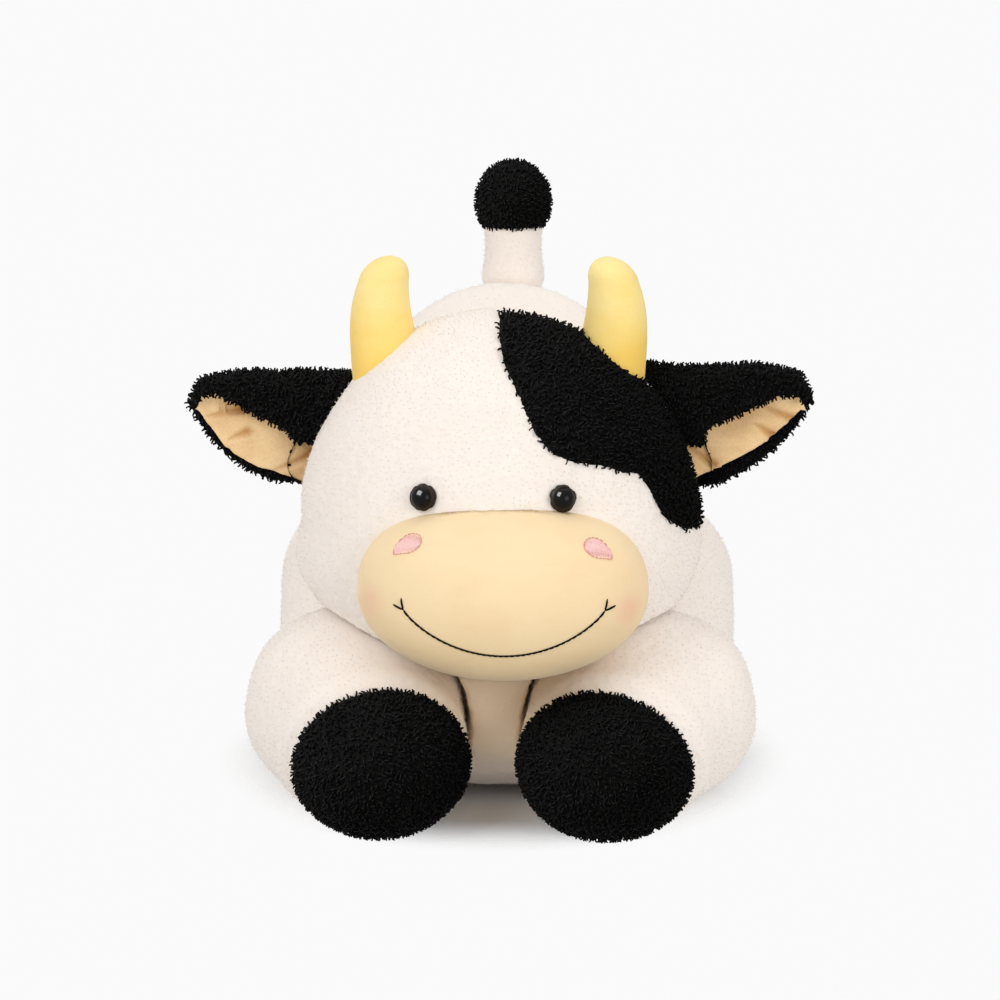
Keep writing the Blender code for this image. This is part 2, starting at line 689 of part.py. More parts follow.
def build():
    white, black = (0.86, 0.80, 0.73), (0.006, 0.006, 0.006)
    cream, tan, stuffing = (0.88, 0.68, 0.42), (0.72, 0.48, 0.25), (0.90, 0.90, 0.88)
    yellow = (0.94, 0.71, 0.22)
    cloth = 0.9

    body_joint = joint_at("body_frame", NECK)
    head_joint = joint_at("neck_joint", NECK)
    span = HOOF_AHEAD_OF_NECK + NECK_TO_RUMP + RUMP_LENGTH
    floor_points = [[Vector((x, y, z)) for x, y in
                     ((-span, -span), (span, -span), (span, span), (-span, span))]
                    for z in (-2 * OVERRUN, 0)]
    floor = cutter("floor", ring_stack("floor", floor_points))

    legs = {}
    for label, side in SIDES:
        legs["front", label] = front_leg(side)
        legs["hind", label] = hind_leg(side)
    swings = {"front": FRONT_LEG_IN, "hind": HIND_LEG_IN}

    # Hollows that the neck ball, the limbs, the ears and the tail turn in
    inside = -WALL - FILLING_GAP
    seats = {}
    depths = {"skin": GAP, "lining": GAP + WALL, "stuffing": GAP + WALL + FILLING_GAP}
    for depth, grow in depths.items():
        facets = SEAT_FACETS if depth == "skin" else inner(SEAT_FACETS)
        for (pair, label), leg in legs.items():
            name = f"{pair} leg seat {label} for {depth}"
            seats[pair, label, depth] = cutter(name, leg.seat(name, grow, swings[pair], facets))
            if pair == "front":
                name = f"cheek over leg {label} for {depth}"
                mesh = leg.seat(name, grow + CHEEK_CLEARANCE, 0, facets)
                seats["cheek", label, depth] = cutter(name, mesh)
        name = f"neck hollow for {depth}"
        neck_facets = NECK_SEAT_FACETS if depth == "skin" else inner(NECK_SEAT_FACETS)
        mesh = body_form(name, grow + snug(NECK_RADIUS, neck_facets), neck_facets, NOD_UP + NOD_PLAY)
        seats["neck", depth] = cutter(name, mesh)
        for label, side in SIDES:
            name = f"ear seat {label} for {depth}"
            play = snug(EAR_ROOT_RADIUS, TRIM_FACETS)
            mesh = ear_barrel(name, side, grow + play, TRIM_FACETS)
            seats["ear", label, depth] = cutter(name, mesh)
        name = f"tail seat for {depth}"
        play = snug(TAIL_ROOT_RADIUS, facets) * SEAT_PLAY_SHARE
        mesh = spun(name, tail_outline(grow + play, facets[1], "all"), tail_root(),
                    Vector((0, 0, 1)), facets)
        seats["tail", depth] = cutter(name, mesh)
    toward_head = (HEAD - NECK).normalized()
    reach = NECK_RADIUS + WALL + OVERRUN
    throat_outline = [(0, 0), (0, NECK_HOLE_RADIUS), (reach, NECK_HOLE_RADIUS), (reach, 0)]
    throat = cutter("neck hole", spun("neck hole", throat_outline, NECK, toward_head, TRIM_FACETS))

    # Body
    body = part("body_cover", body_form("body_cover", 0, BODY_FACETS), white, cloth, body_joint)
    body_room = cutter("body room", body_form("body room", -WALL, inner(BODY_FACETS)))
    stuffed = body_form("body_filling", inside, inner(BODY_FACETS))
    body_filling = part("body_filling", stuffed, stuffing, cloth, body_joint)
    for piece, depth in ((body, "skin"), (body_room, "lining"), (body_filling, "stuffing")):
        for (pair, label) in legs:
            combine(piece, seats[pair, label, depth])
        combine(piece, seats["tail", depth])
    combine(body, floor)
    combine(body, body_room)
    combine(body, throat)

    # Head, with the patch let into its cover
    head = part("head_cover", head_form("head_cover", 0, HEAD_FACETS), white, cloth, head_joint)
    patch = part("face_patch", head_form("face_patch", 0, HEAD_FACETS), black, cloth, head_joint)
    head_room = cutter("head room", head_form("head room", -WALL, inner(HEAD_FACETS)))
    stuffed = head_form("head_filling", inside, inner(HEAD_FACETS))
    head_filling = part("head_filling", stuffed, stuffing, cloth, head_joint)
    for piece, depth in ((head, "skin"), (patch, "skin"), (head_room, "lining"),
                         (head_filling, "stuffing")):
        for label, _ in SIDES:
            combine(piece, seats["ear", label, depth])
            combine(piece, seats["cheek", label, depth])
        combine(piece, seats["neck", depth])
    for piece in (head, patch):
        combine(piece, head_room)
    combine(head, throat)
    combine(head, cutter("patch opening", patch_prism("patch opening", 0)))
    combine(patch, cutter("patch outline", patch_prism("patch outline", GAP)), "INTERSECT")
    make_eyes(head_joint, (head, patch), head_filling)

    # Muzzle
    face = cutter("face under the muzzle", head_form("face", GAP, HEAD_FACETS))
    skin = muzzle_form("muzzle_cover", 0, MUZZLE_FACETS)
    muzzle = part("muzzle_cover", skin, cream, cloth, head_joint)
    room = muzzle_form("muzzle room", -WALL, inner(MUZZLE_FACETS))
    combine(muzzle, cutter("muzzle room", room))
    combine(muzzle, face)
    stuffed = muzzle_form("muzzle_filling", inside, inner(MUZZLE_FACETS))
    combine(part("muzzle_filling", stuffed, stuffing, cloth, head_joint), face)

    for label, side in SIDES:
        # Horns
        skin = horn_form("horn", side, 0, TRIM_FACETS)
        horn = part(f"horn_cover_{label}", skin, yellow, cloth, head_joint)
        room = horn_form("horn room", side, -WALL, inner(TRIM_FACETS))
        combine(horn, cutter(f"horn room {label}", room))
        stuffed = horn_form("horn filling", side, inside, inner(TRIM_FACETS))
        fill = part(f"horn_filling_{label}", stuffed, stuffing, cloth, head_joint)
        for piece in (horn, fill):
            combine(piece, face)

        # Ears
        foot, top = ear_root(side)
        ear_joint = joint_at(f"ear_joint_{label}", (foot + top) / 2)
        skin = ear_layer("ear", side, 0, EAR_CLOTH, 0, EAR_CUT_SHARE)
        ear = part(f"ear_outer_{label}", skin, black, cloth, ear_joint)
        barrel = ear_barrel("ear root", side, 0, TRIM_FACETS)
        combine(ear, cutter(f"ear root {label}", barrel), "UNION")
        depth = EAR_CLOTH + GAP
        soft = ear_layer("ear lining", side, depth, depth + EAR_LINING, EAR_HEM_SHARE, EAR_LINING_CUT_SHARE)
        lining = part(f"ear_lining_{label}", soft, tan, cloth, ear_joint)
        clearance = ear_barrel("ear root clearance", side, GAP + snug(EAR_ROOT_RADIUS, TRIM_FACETS),
                               TRIM_FACETS)
        combine(lining, cutter(f"ear root clearance {label}", clearance))

        # Legs
        for pair in ("front", "hind"):
            leg = legs[pair, label]
            leg_joint = joint_at(f"{pair}_leg_joint_{label}", leg.root)
            cover = part(f"{pair}_leg_cover_{label}", leg.shell("leg", True), white, cloth, leg_joint)
            hoof = part(f"{pair}_hoof_{label}", leg.shell("hoof", False), black, cloth, leg_joint)
            facets = (LIMB_FACETS[0], inner(LIMB_FACETS)[1])
            stuffed = leg.form("leg filling", inside, facets)
            part(f"{pair}_leg_filling_{label}", stuffed, stuffing, cloth, leg_joint)
            for piece in (cover, hoof):
                combine(piece, floor)

    # Tail
    root = tail_root()
    tail_joint = joint_at("tail_joint", root)
    upright = Vector((0, 0, 1))
    quarter = TAIL_FACETS[1]
    for name, piece, colour in (("tail_cover", "shaft", white), ("tail_tuft", "tuft", black)):
        skin = tail_outline(0, quarter, piece)
        lining = tail_outline(-WALL, quarter, piece)
        outline = skin + lining[::-1] if piece == "shaft" else skin[::-1] + lining
        part(name, spun(name, outline, root, upright, TAIL_FACETS), colour, cloth, tail_joint)
    stuffed = spun("tail_filling", tail_outline(inside, quarter, "all"), root, upright, TAIL_FACETS)
    part("tail_filling", stuffed, stuffing, cloth, tail_joint)


build()
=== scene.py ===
# Plush cow lying on its belly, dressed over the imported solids.
# Metres, +Z up. The cow looks along -Y, and its own left side is at +X.
import math

import bmesh
import bpy
import numpy as np
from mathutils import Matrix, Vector, noise
from mathutils.bvhtree import BVHTree


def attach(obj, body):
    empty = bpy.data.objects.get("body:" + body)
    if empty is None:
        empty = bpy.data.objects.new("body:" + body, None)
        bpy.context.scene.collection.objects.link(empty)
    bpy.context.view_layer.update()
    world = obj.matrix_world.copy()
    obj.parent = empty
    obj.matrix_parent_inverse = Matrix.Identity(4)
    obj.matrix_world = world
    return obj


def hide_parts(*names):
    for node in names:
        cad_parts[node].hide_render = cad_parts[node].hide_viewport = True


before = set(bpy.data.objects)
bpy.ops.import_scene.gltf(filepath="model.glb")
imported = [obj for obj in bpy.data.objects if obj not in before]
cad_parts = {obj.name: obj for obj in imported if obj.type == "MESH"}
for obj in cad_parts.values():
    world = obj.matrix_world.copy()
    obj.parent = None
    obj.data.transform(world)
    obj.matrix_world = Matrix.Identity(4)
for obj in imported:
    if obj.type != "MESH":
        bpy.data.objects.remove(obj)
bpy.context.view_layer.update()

# Colours of the cloths, threads and eyes
WHITE_TIP, WHITE_ROOT = (0.95, 0.875, 0.815), (0.90, 0.805, 0.725)
# Painted warm bounce light for the chest under the muzzle
CHEST_PAINTED_BOUNCE = (0.97, 0.76, 0.50)
# The darker black is painted shade, deep in the pile and in the backing's grooves.
BLACK_TIP, BLACK_PAINTED_SHADE = (0.0050, 0.0047, 0.0045), (0.0014, 0.0013, 0.0012)
BLACK_GLINT = (0.042, 0.040, 0.038)
# The deeper cream serves both the stroked streaks and painted shade on the muzzle's underside.
MUZZLE_CREAM, MUZZLE_STREAK_AND_SHADE = (0.93, 0.725, 0.44), (0.86, 0.63, 0.36)
HORN_YELLOW, HORN_DEEP = (0.98, 0.80, 0.333), (0.98, 0.66, 0.138)
LINING_TAN, LINING_STREAK_AND_SHADE = (0.98, 0.70, 0.38), (0.52, 0.25, 0.07)
BLUSH_PINK = (0.90, 0.50, 0.36)
SEAM_SHADOW_BROWN = (0.32, 0.19, 0.09)
NOSTRIL_PINK, NOSTRIL_EDGE = (0.96, 0.57, 0.54), (0.76, 0.34, 0.30)
THREAD_BLACK = (0.006, 0.005, 0.005)
EYE_BLACK, EYE_BROWN = (0.003, 0.003, 0.003), (0.030, 0.017, 0.010)
FLOOR_WHITE = (0.94, 0.94, 0.94)
BACKDROP = 0.957

# Places on the toy, as the pattern has them
HEAD_MIDDLE = Vector((0, -0.070, 0.145))
HEAD_SIZES = (0.112, 0.090, 0.126, 0.080)
MUZZLE_MIDDLE = Vector((0.005, -0.145, 0.132))
MUZZLE_SIZES = (0.0772, 0.050, 0.0475)
TAIL_ROOT = Vector((0, 0.127, 0.26422))
TAIL_ASIDE = 0.002
EYE_ASIDE, EYE_HEIGHT, EYE_RADIUS = 0.0365, 0.1835, 0.0074

# The ears' plane, their root seam's foot and slope, and how their cloth is drawn at the root
EAR_DEPTH = -0.058
EAR_SAG = 0.0027
EAR_SEAM_OUT, EAR_SEAM_FOOT = 0.112, 0.170
EAR_SEAM_RUN, EAR_SEAM_RISE = 0.025, 0.060
LINING_FORWARD, LINING_INWARD = 0.0020, 0.0145
ROOT_SET_BACK = 0.0070
LINING_SEAM_OUT = 0.011

# Each ear from the front, as (out, height): the flap's hem, and the lining's low edge
FLAP_HEMS = {1: ((0.101, 0.1985), (0.153, 0.2230), (0.163, 0.2230), (0.167, 0.2190)),
             -1: ((0.106, 0.1970), (0.156, 0.2225), (0.164, 0.2205), (0.169, 0.2165))}
LINING_HEMS = {1: ((0.1215, 0.1740), (0.130, 0.1794), (0.139, 0.1884), (0.153, 0.2005), (0.166, 0.2125)),
               -1: ((0.1215, 0.1713), (0.130, 0.1739), (0.139, 0.1793), (0.153, 0.1910), (0.169, 0.2135))}
LINING_FOLDS = {1: (((0.103, 0.1945), (0.119, 0.1825)), ((0.141, 0.2060), (0.150, 0.2000)),
                    ((0.145, 0.2160), (0.161, 0.2095))),
                -1: (((0.125, 0.1780), (0.100, 0.1895)), ((0.150, 0.1955), (0.140, 0.1995)),
                     ((0.162, 0.2085), (0.139, 0.2130)))}
EAR_TOP_RISE = {1: 0.29, -1: 0.12}
EAR_TOP_INWARD = {1: 0.010, -1: 0.005}
EAR_LOW_RISE = {1: (0.0035, 0.115, 0.145), -1: (0.0042, 0.098, 0.120)}
SIDES = (("left", 1), ("right", -1))


class Network:
    """A node tree whose nodes all come from one method."""

    def __init__(self, tree):
        self.tree = tree

    @staticmethod
    def find(sockets, key):
        for socket in sockets:
            if socket.identifier == key:
                return socket
        for socket in sockets:
            if socket.name == key and socket.enabled:
                return socket
        raise KeyError(key)

    def node(self, kind, settings=None, values=None, stops=None):
        made = self.tree.nodes.new(kind)
        for key, value in (settings or {}).items():
            setattr(made, key, value)
        if stops:
            ramp = made.color_ramp
            while len(ramp.elements) < len(stops):
                ramp.elements.new(0.5)
            for element, (place, colour) in zip(ramp.elements, stops):
                element.position = place
                element.color = (*colour, 1)
        for key, value in (values or {}).items():
            self.fill(self.find(made.inputs, key), value)
        return made

    def fill(self, socket, value):
        if isinstance(value, Value):
            value = value.socket
        if isinstance(value, bpy.types.NodeSocket):
            self.tree.links.new(value, socket)
            return
        if isinstance(value, (tuple, list)) and socket.type == "RGBA" and len(value) == 3:
            value = (*value, 1)
        socket.default_value = value

    def out(self, made, key=None):
        return self.find(made.outputs, key) if key else made.outputs[0]

    def value(self, made, key=None):
        return Value(self, self.out(made, key))


class Value:
    """A number socket; each operator on it adds its Math node."""

    def __init__(self, network, socket):
        self.network = network
        self.socket = socket

    def math(self, operation, *others, clamp=False):
        made = self.network.node("ShaderNodeMath", {"operation": operation, "use_clamp": clamp})
        for socket, value in zip(made.inputs, (self, *others)):
            self.network.fill(socket, value)
        return Value(self.network, made.outputs[0])

    def turned(self, operation, other):
        made = self.network.node("ShaderNodeMath", {"operation": operation})
        self.network.fill(made.inputs[0], other)
        self.network.fill(made.inputs[1], self)
        return Value(self.network, made.outputs[0])

    def __add__(self, other):
        return self.math("ADD", other)

    def __radd__(self, other):
        return self.math("ADD", other)

    def __sub__(self, other):
        return self.math("SUBTRACT", other)

    def __rsub__(self, other):
        return self.turned("SUBTRACT", other)

    def __mul__(self, other):
        return self.math("MULTIPLY", other)

    def __rmul__(self, other):
        return self.math("MULTIPLY", other)

    def __truediv__(self, other):
        return self.math("DIVIDE", other)

    def __pow__(self, other):
        return self.math("POWER", other)

    def held(self):
        return self.math("ADD", 0, clamp=True)

    def between(self, low, high):
        """0 below low, 1 above high, smooth between them."""
        made = self.network.node("ShaderNodeMapRange", {"interpolation_type": "SMOOTHSTEP"},
                                 {"Value": self, "From Min": low, "From Max": high})
        return Value(self.network, made.outputs[0])


class Finish(Network):
    """One material: colours and bumps that end in a Principled BSDF."""

    def __init__(self, name, **constants):
        self.material = bpy.data.materials.new(name)
        self.material.use_nodes = True
        super().__init__(self.material.node_tree)
        self.tree.nodes.clear()
        self.surface = self.node("ShaderNodeBsdfPrincipled")
        for key, value in constants.items():
            self.fill(self.find(self.surface.inputs, key.replace("_", " ")), value)
        end = self.node("ShaderNodeOutputMaterial")
        self.tree.links.new(self.surface.outputs[0], end.inputs["Surface"])
        self.place = self.out(self.node("ShaderNodeTexCoord"), "Object")

    def colour(self, value):
        self.fill(self.surface.inputs["Base Color"], value)

    def roughness(self, value):
        self.fill(self.surface.inputs["Roughness"], value)

    def mix(self, share, first, second):
        made = self.node("ShaderNodeMix", {"data_type": "RGBA"},
                         {"Factor_Float": share, "A_Color": first, "B_Color": second})
        return self.out(made, "Result_Color")

    def mottle(self, scale, detail=2.0, roughness=0.5, stretch=None):
        place = self.place
        if stretch:
            place = self.out(self.node("ShaderNodeMapping", None,
                                       {"Vector": place, "Scale": stretch}))
        made = self.node("ShaderNodeTexNoise", None,
                         {"Vector": place, "Scale": scale, "Detail": detail, "Roughness": roughness})
        return self.value(made, "Fac")

    def nubs(self, scale, smoothness=0.6):
        made = self.node("ShaderNodeTexVoronoi", {"feature": "SMOOTH_F1"},
                         {"Vector": self.place, "Scale": scale, "Smoothness": smoothness})
        return self.value(made, "Distance")

    def held_value(self, name):
        made = self.node("ShaderNodeAttribute", {"attribute_name": name})
        return self.value(made, "Fac")

    def distance(self, point, squeeze=(1, 1, 1)):
        """Distance from a point of the toy, in squeezed metres."""
        away = self.out(self.node("ShaderNodeVectorMath", {"operation": "SUBTRACT"},
                                  {"Vector": self.place, "Vector_001": tuple(point)}))
        away = self.out(self.node("ShaderNodeVectorMath", {"operation": "MULTIPLY"},
                                  {"Vector": away, "Vector_001": squeeze}))
        made = self.node("ShaderNodeVectorMath", {"operation": "LENGTH"}, {"Vector": away})
        return self.value(made, "Value")

    def axis(self, letter):
        made = self.node("ShaderNodeSeparateXYZ", None, {"Vector": self.place})
        return self.value(made, letter)

    def bump(self, height, strength, depth):
        made = self.node("ShaderNodeBump", None,
                         {"Height": height, "Strength": strength, "Distance": depth})
        self.fill(self.surface.inputs["Normal"], self.out(made))


# Finishes

def fleece(name, fibre=False):
    """Off-white fleece of low soft nubs, with painted warm bounce light on the chest under the muzzle."""
    finish = Finish(name, Roughness=1.0, Sheen_Weight=0.25, Sheen_Roughness=0.6, Specular_IOR_Level=0.05,
                    Subsurface_Weight=0.0 if fibre else 0.12, Subsurface_Scale=0.004)
    finish.fill(finish.surface.inputs["Subsurface Radius"], (1.0, 0.8, 0.6))
    broad = finish.mottle(30, 3)
    fine = finish.mottle(420, 3)
    shade = broad.between(0.35, 0.75) * 0.30 + fine.between(0.3, 0.7) * 0.22
    plain = finish.mix(shade.held(), WHITE_TIP, WHITE_ROOT)
    # Painted light: the chest under the muzzle is tinted warm, as bounce light from the cream muzzle would
    # tint it.
    painted_bounce_under_muzzle = 1 - finish.distance((0.005, -0.120, 0.070), (1, 0.7, 0.9)).between(0.022, 0.062)
    finish.colour(finish.mix((painted_bounce_under_muzzle * 0.65).held(), plain, CHEST_PAINTED_BOUNCE))
    if not fibre:
        nubs = finish.nubs(300)
        finish.bump(nubs * -0.7 + finish.mottle(1500, 3) * 0.5, 0.30, 0.0007)
    return finish.material


def looped_black(name):
    """Short black tufts, with painted shade towards their roots and a painted glint on the tips of a few."""
    finish = Finish(name, Roughness=0.60, Sheen_Weight=0.01, Sheen_Roughness=0.4, Specular_IOR_Level=0.05)
    along = finish.held_value("tip")
    tone = finish.held_value("tone")
    # Painted shade: each tuft darkens towards its root, as if shaded deep in the pile.
    dull = finish.mix((along.between(0.1, 1.0) * (tone * 0.8 + 0.2)).held(), BLACK_PAINTED_SHADE, BLACK_TIP)
    # Painted highlight: the tips of a few random tufts are made lighter, as glints.
    glint = tone.between(0.86, 1.0) * along.between(0.3, 1.0)
    finish.colour(finish.mix(glint * 0.8, dull, BLACK_GLINT))
    return finish.material


def black_backing(name):
    finish = Finish(name, Roughness=0.95, Specular_IOR_Level=0.05)
    rib = finish.nubs(700)
    # Painted shade: the backing is darker in the grooves between its nubs.
    finish.colour(finish.mix(rib.between(0.1, 0.8), BLACK_TIP, BLACK_PAINTED_SHADE))
    finish.bump(rib * -1.0, 0.8, 0.0010)
    return finish.material


def short_pile(name, fair, deep, change, fleck=1.0):
    """Smooth brushed cloth: fine nap, faint streaks where it was stroked, and a sheen."""
    finish = Finish(name, Roughness=0.85, Sheen_Weight=0.25, Sheen_Roughness=0.35, Specular_IOR_Level=0.2)
    nap = finish.mottle(3200, 2, 0.6)
    stroked = finish.mottle(34, 3, 0.5, (1.0, 1.0, 1.9))
    grain = finish.mottle(900, 4, 0.6)
    share = stroked.between(0.35, 0.75) * 0.35 + grain.between(0.4, 0.8) * (0.22 * fleck)
    share = (share + change(finish)).held()
    finish.colour(finish.mix(share, fair, deep))
    finish.roughness(nap * 0.12 + 0.78)
    finish.bump(nap * 0.6 + grain * 0.7, 0.5, 0.00035)
    return finish


def muzzle_cloth():
    """Cream cloth, with a brushed blush at each end of the smile, painted shade towards its underside, and a
    painted shadow in the seam where it meets the face.
    """
    def deeper(finish):
        # Painted shade: the muzzle darkens towards its underside.
        return (1 - finish.axis("Z").between(0.085, 0.150)) * 0.35
    finish = short_pile("muzzle_cloth", MUZZLE_CREAM, MUZZLE_STREAK_AND_SHADE, deeper, 0.7)
    plain = finish.surface.inputs["Base Color"].links[0].from_socket
    for place, size, strength in (((-0.066, -0.170, 0.131), 0.014, 0.42),
                                  ((0.0715, -0.170, 0.129), 0.012, 0.55)):
        near = 1 - finish.distance(place, (1, 0.6, 1)).between(size * 0.15, size)
        cloudy = near * (finish.mottle(240, 3) * 0.5 + 0.75) * strength
        plain = finish.mix(cloudy.held(), plain, BLUSH_PINK)
    # Painted shadow: brown where the muzzle's rim lies close against the face, as the shadow in the seam.
    seam = finish.held_value("seam") * finish.mottle(500, 2).between(0.15, 0.5)
    finish.colour(finish.mix((seam * 0.9).held(), plain, SEAM_SHADOW_BROWN))
    return finish.material


def horn_cloth():
    def deeper(finish):
        return (1 - finish.axis("Z").between(0.236, 0.288)) * 0.90
    return short_pile("horn_cloth", HORN_YELLOW, HORN_DEEP, deeper).material


def lining_cloth():
    """The tan lining, with painted shade towards the root and in its creases."""
    def deeper(finish):
        out = finish.axis("X").math("ABSOLUTE")
        crease = finish.held_value("crease")
        # Painted shade towards the root and along the folds.
        return (1 - out.between(0.100, 0.125)) * 0.25 + crease * 0.80
    return short_pile("lining_cloth", LINING_TAN, LINING_STREAK_AND_SHADE, deeper).material


def thread(name, colour, shine=0.45, sheen=0.2, gloss=0.3):
    finish = Finish(name, Roughness=shine, Sheen_Weight=sheen, Specular_IOR_Level=gloss)
    ply = finish.mottle(1700, 2, 0.5, (1, 1, 2.4))
    darker = tuple(channel * 0.72 for channel in colour)
    finish.colour(finish.mix(ply.between(0.35, 0.7), colour, darker))
    finish.bump(ply, 0.5, 0.0002)
    return finish.material


def eye_plastic():
    """Black dome inside a dark brown ring; both come from the distance to the eye's axis."""
    finish = Finish("eye_plastic", Specular_IOR_Level=0.14)
    ring = finish.held_value("ring")
    speck = finish.mottle(1500, 3)
    brown = finish.mix(speck.between(0.35, 0.7), EYE_BROWN, tuple(c * 0.45 for c in EYE_BROWN))
    rim = ring.between(0.72, 0.80)
    finish.colour(finish.mix(rim, EYE_BLACK, brown))
    finish.roughness(rim * 0.45 + 0.11)
    finish.bump(speck * rim, 0.4, 0.0003)
    return finish.material


# Skins

def linked(name, mesh):
    piece = bpy.data.objects.new(name, mesh)
    bpy.context.scene.collection.objects.link(piece)
    return piece


def frozen(piece):
    """The piece as its modifiers leave it, with none left on it."""
    bpy.context.view_layer.update()
    graph = bpy.context.evaluated_depsgraph_get()
    mesh = bpy.data.meshes.new_from_object(piece.evaluated_get(graph), depsgraph=graph)
    old = piece.data
    piece.modifiers.clear()
    piece.data = mesh
    if old.users == 0:
        bpy.data.meshes.remove(old)
    return piece


def points_of(mesh):
    flat = np.empty(len(mesh.vertices) * 3)
    mesh.vertices.foreach_get("co", flat)
    return flat.reshape(-1, 3)


def normals_of(mesh):
    flat = np.empty(len(mesh.vertices) * 3)
    mesh.vertices.foreach_get("normal", flat)
    return flat.reshape(-1, 3)


def put_points(mesh, points):
    mesh.vertices.foreach_set("co", np.ascontiguousarray(points, dtype=np.float32).ravel())
    mesh.update()


def keep_value(mesh, name, values):
    """A number at each point of a mesh, for its finish or its pile to read."""
    held = mesh.attributes.new(name, "FLOAT", "POINT")
    held.data.foreach_set("value", values.astype(np.float32))


def cast(name, nodes, voxel):
    """The solids of one stuffed part as a single closed skin."""
    shape = bmesh.new()
    for node in nodes:
        shape.from_mesh(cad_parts[node].data)
    bmesh.ops.remove_doubles(shape, verts=shape.verts, dist=1e-6)
    mesh = bpy.data.meshes.new(name)
    shape.to_mesh(mesh)
    shape.free()
    mesh.materials.clear()
    return recast(linked(name, mesh), voxel)


def relax(piece, rounds, weights=None):
    """Even out facets; a weight of 0 holds a point where it is."""
    mesh = piece.data
    points = points_of(mesh)
    edges = np.empty(len(mesh.edges) * 2, dtype=np.int64)
    mesh.edges.foreach_get("vertices", edges)
    first, second = edges[0::2], edges[1::2]
    count = np.bincount(edges, minlength=len(points))[:, None]
    pull = 0.5 if weights is None else 0.5 * weights[:, None]
    for _ in range(rounds):
        total = np.zeros_like(points)
        for column in range(3):
            total[:, column] = (np.bincount(first, points[second, column], len(points))
                                + np.bincount(second, points[first, column], len(points)))
        points += pull * (total / count - points)
    put_points(mesh, points)


def lump(piece, size, depth, seed):
    """The uneven filling under the cloth."""
    mesh = piece.data
    points = points_of(mesh)
    normals = normals_of(mesh)
    shift = Vector((seed * 7.3, seed * 3.1, seed * 1.7))
    lift = np.array([noise.noise(Vector(point) / size + shift) for point in points])
    put_points(mesh, points + normals * (lift * depth)[:, None])


def recast(piece, voxel):
    """The same form with even facets, fine enough for its nubs."""
    step = piece.modifiers.new("even", "REMESH")
    step.mode = "VOXEL"
    step.voxel_size = voxel
    step.use_smooth_shade = True
    return frozen(piece)


def nub(piece, size, depth):
    """Locks of fleece that stand together, as low bumps in the skin."""
    cells = bpy.data.textures.new(f"{piece.name}_locks", "VORONOI")
    cells.noise_scale = size
    cells.distance_metric = "DISTANCE_SQUARED"
    step = piece.modifiers.new("locks", "DISPLACE")
    step.texture = cells
    step.texture_coords = "LOCAL"
    step.strength = -depth
    step.mid_level = 0.3
    frozen(piece)


def draw_in(piece, depth):
    """Make room for the pile that stands on the skin."""
    mesh = piece.data
    put_points(mesh, points_of(mesh) - normals_of(mesh) * depth)


def bridge(shape, rings, around):
    """Faces from each ring of points to the next; a ring of one point is a pole."""
    for low, high in zip(rings, rings[1:]):
        for step in range(around):
            after = (step + 1) % around
            if len(low) == 1:
                shape.faces.new((low[0], high[step], high[after]))
            elif len(high) == 1:
                shape.faces.new((low[step], high[0], low[after]))
            else:
                shape.faces.new((low[step], high[step], high[after], low[after]))


def skin_of(name, shape):
    """The shape as a smooth piece whose faces point outwards."""
    bmesh.ops.recalc_face_normals(shape, faces=shape.faces)
    mesh = bpy.data.meshes.new(name)
    shape.to_mesh(mesh)
    shape.free()
    mesh.shade_smooth()
    return linked(name, mesh)


def turned(name, outline, start, axis, around, settle=None):
    """An outline of (along, radius) points turned about an axis, with poles where the radius is 0."""
    axis = axis.normalized()
    side = axis.orthogonal().normalized()
    up = axis.cross(side)
    shape = bmesh.new()
    rings = []
    for along, radius in outline:
        centre = start + axis * along
        if radius == 0:
            rings.append([shape.verts.new(settle(centre) if settle else centre)])
            continue
        ring = []
        for step in range(around):
            turn = 2 * math.pi * step / around
            point = centre + radius * (math.cos(turn) * side + math.sin(turn) * up)
            ring.append(shape.verts.new(settle(point) if settle else point))
        rings.append(ring)
    bridge(shape, rings, around)
    return skin_of(name, shape)


def arc(centre, radius, first, last, steps, height=None):
    height = height or radius
    points = []
    for step in range(steps + 1):
        angle = first + (last - first) * step / steps
        out = 0 if angle in (0, math.pi) else radius * math.sin(angle)
        points.append((centre + height * math.cos(angle), out))
    return points


class Leg:
    """Two balls and the cone round them, pressed flat above and below."""

    def __init__(self, root, hoof, radii, crowns, drops, collar):
        self.root = Vector(root)
        self.axis = Vector(hoof) - self.root
        self.length = self.axis.length
        self.radii = radii
        self.crowns = crowns
        self.drops = drops
        self.seam = self.length - collar

    def settle(self, point):
        share = (point - self.root).dot(self.axis) / self.length ** 2
        share = min(max(share, 0), 1)
        middle = self.root.z + self.axis.z * share
        radius = self.radii[0] + (self.radii[1] - self.radii[0]) * share
        ends = self.crowns if point.z > middle else self.drops
        reach = ends[0] + (ends[1] - ends[0]) * share
        height = middle + (point.z - middle) * reach / radius
        return Vector((point.x, point.y, max(height, 0)))

    def outline(self, grow):
        """The turned line between two places along the leg, evenly stepped."""
        touch = math.acos((self.radii[0] - self.radii[1]) / self.length)
        ball_steps, cone_steps, end_steps = 34, 16, 20
        ball = arc(0, self.radii[0] + grow, math.pi, touch, ball_steps)
        end = arc(self.length, self.radii[1] + grow, touch, 0, end_steps)
        cone = []
        for step in range(1, cone_steps):
            share = step / cone_steps
            cone.append(tuple(a + (b - a) * share for a, b in zip(ball[-1], end[0])))
        return ball + cone + end

    def plumped(self, line, seam_side):
        """Cloth swells beside the hoof seam and is drawn in on it."""
        shaped = []
        for along, radius in line:
            away = abs(along - self.seam)
            pull = 0.0022 * math.exp(-(away / 0.0035) ** 2)
            swell = 0.0016 * math.exp(-((away - 0.011) / 0.007) ** 2)
            if radius > 0.004:
                radius += swell * seam_side - pull
            shaped.append((along, radius))
        return shaped


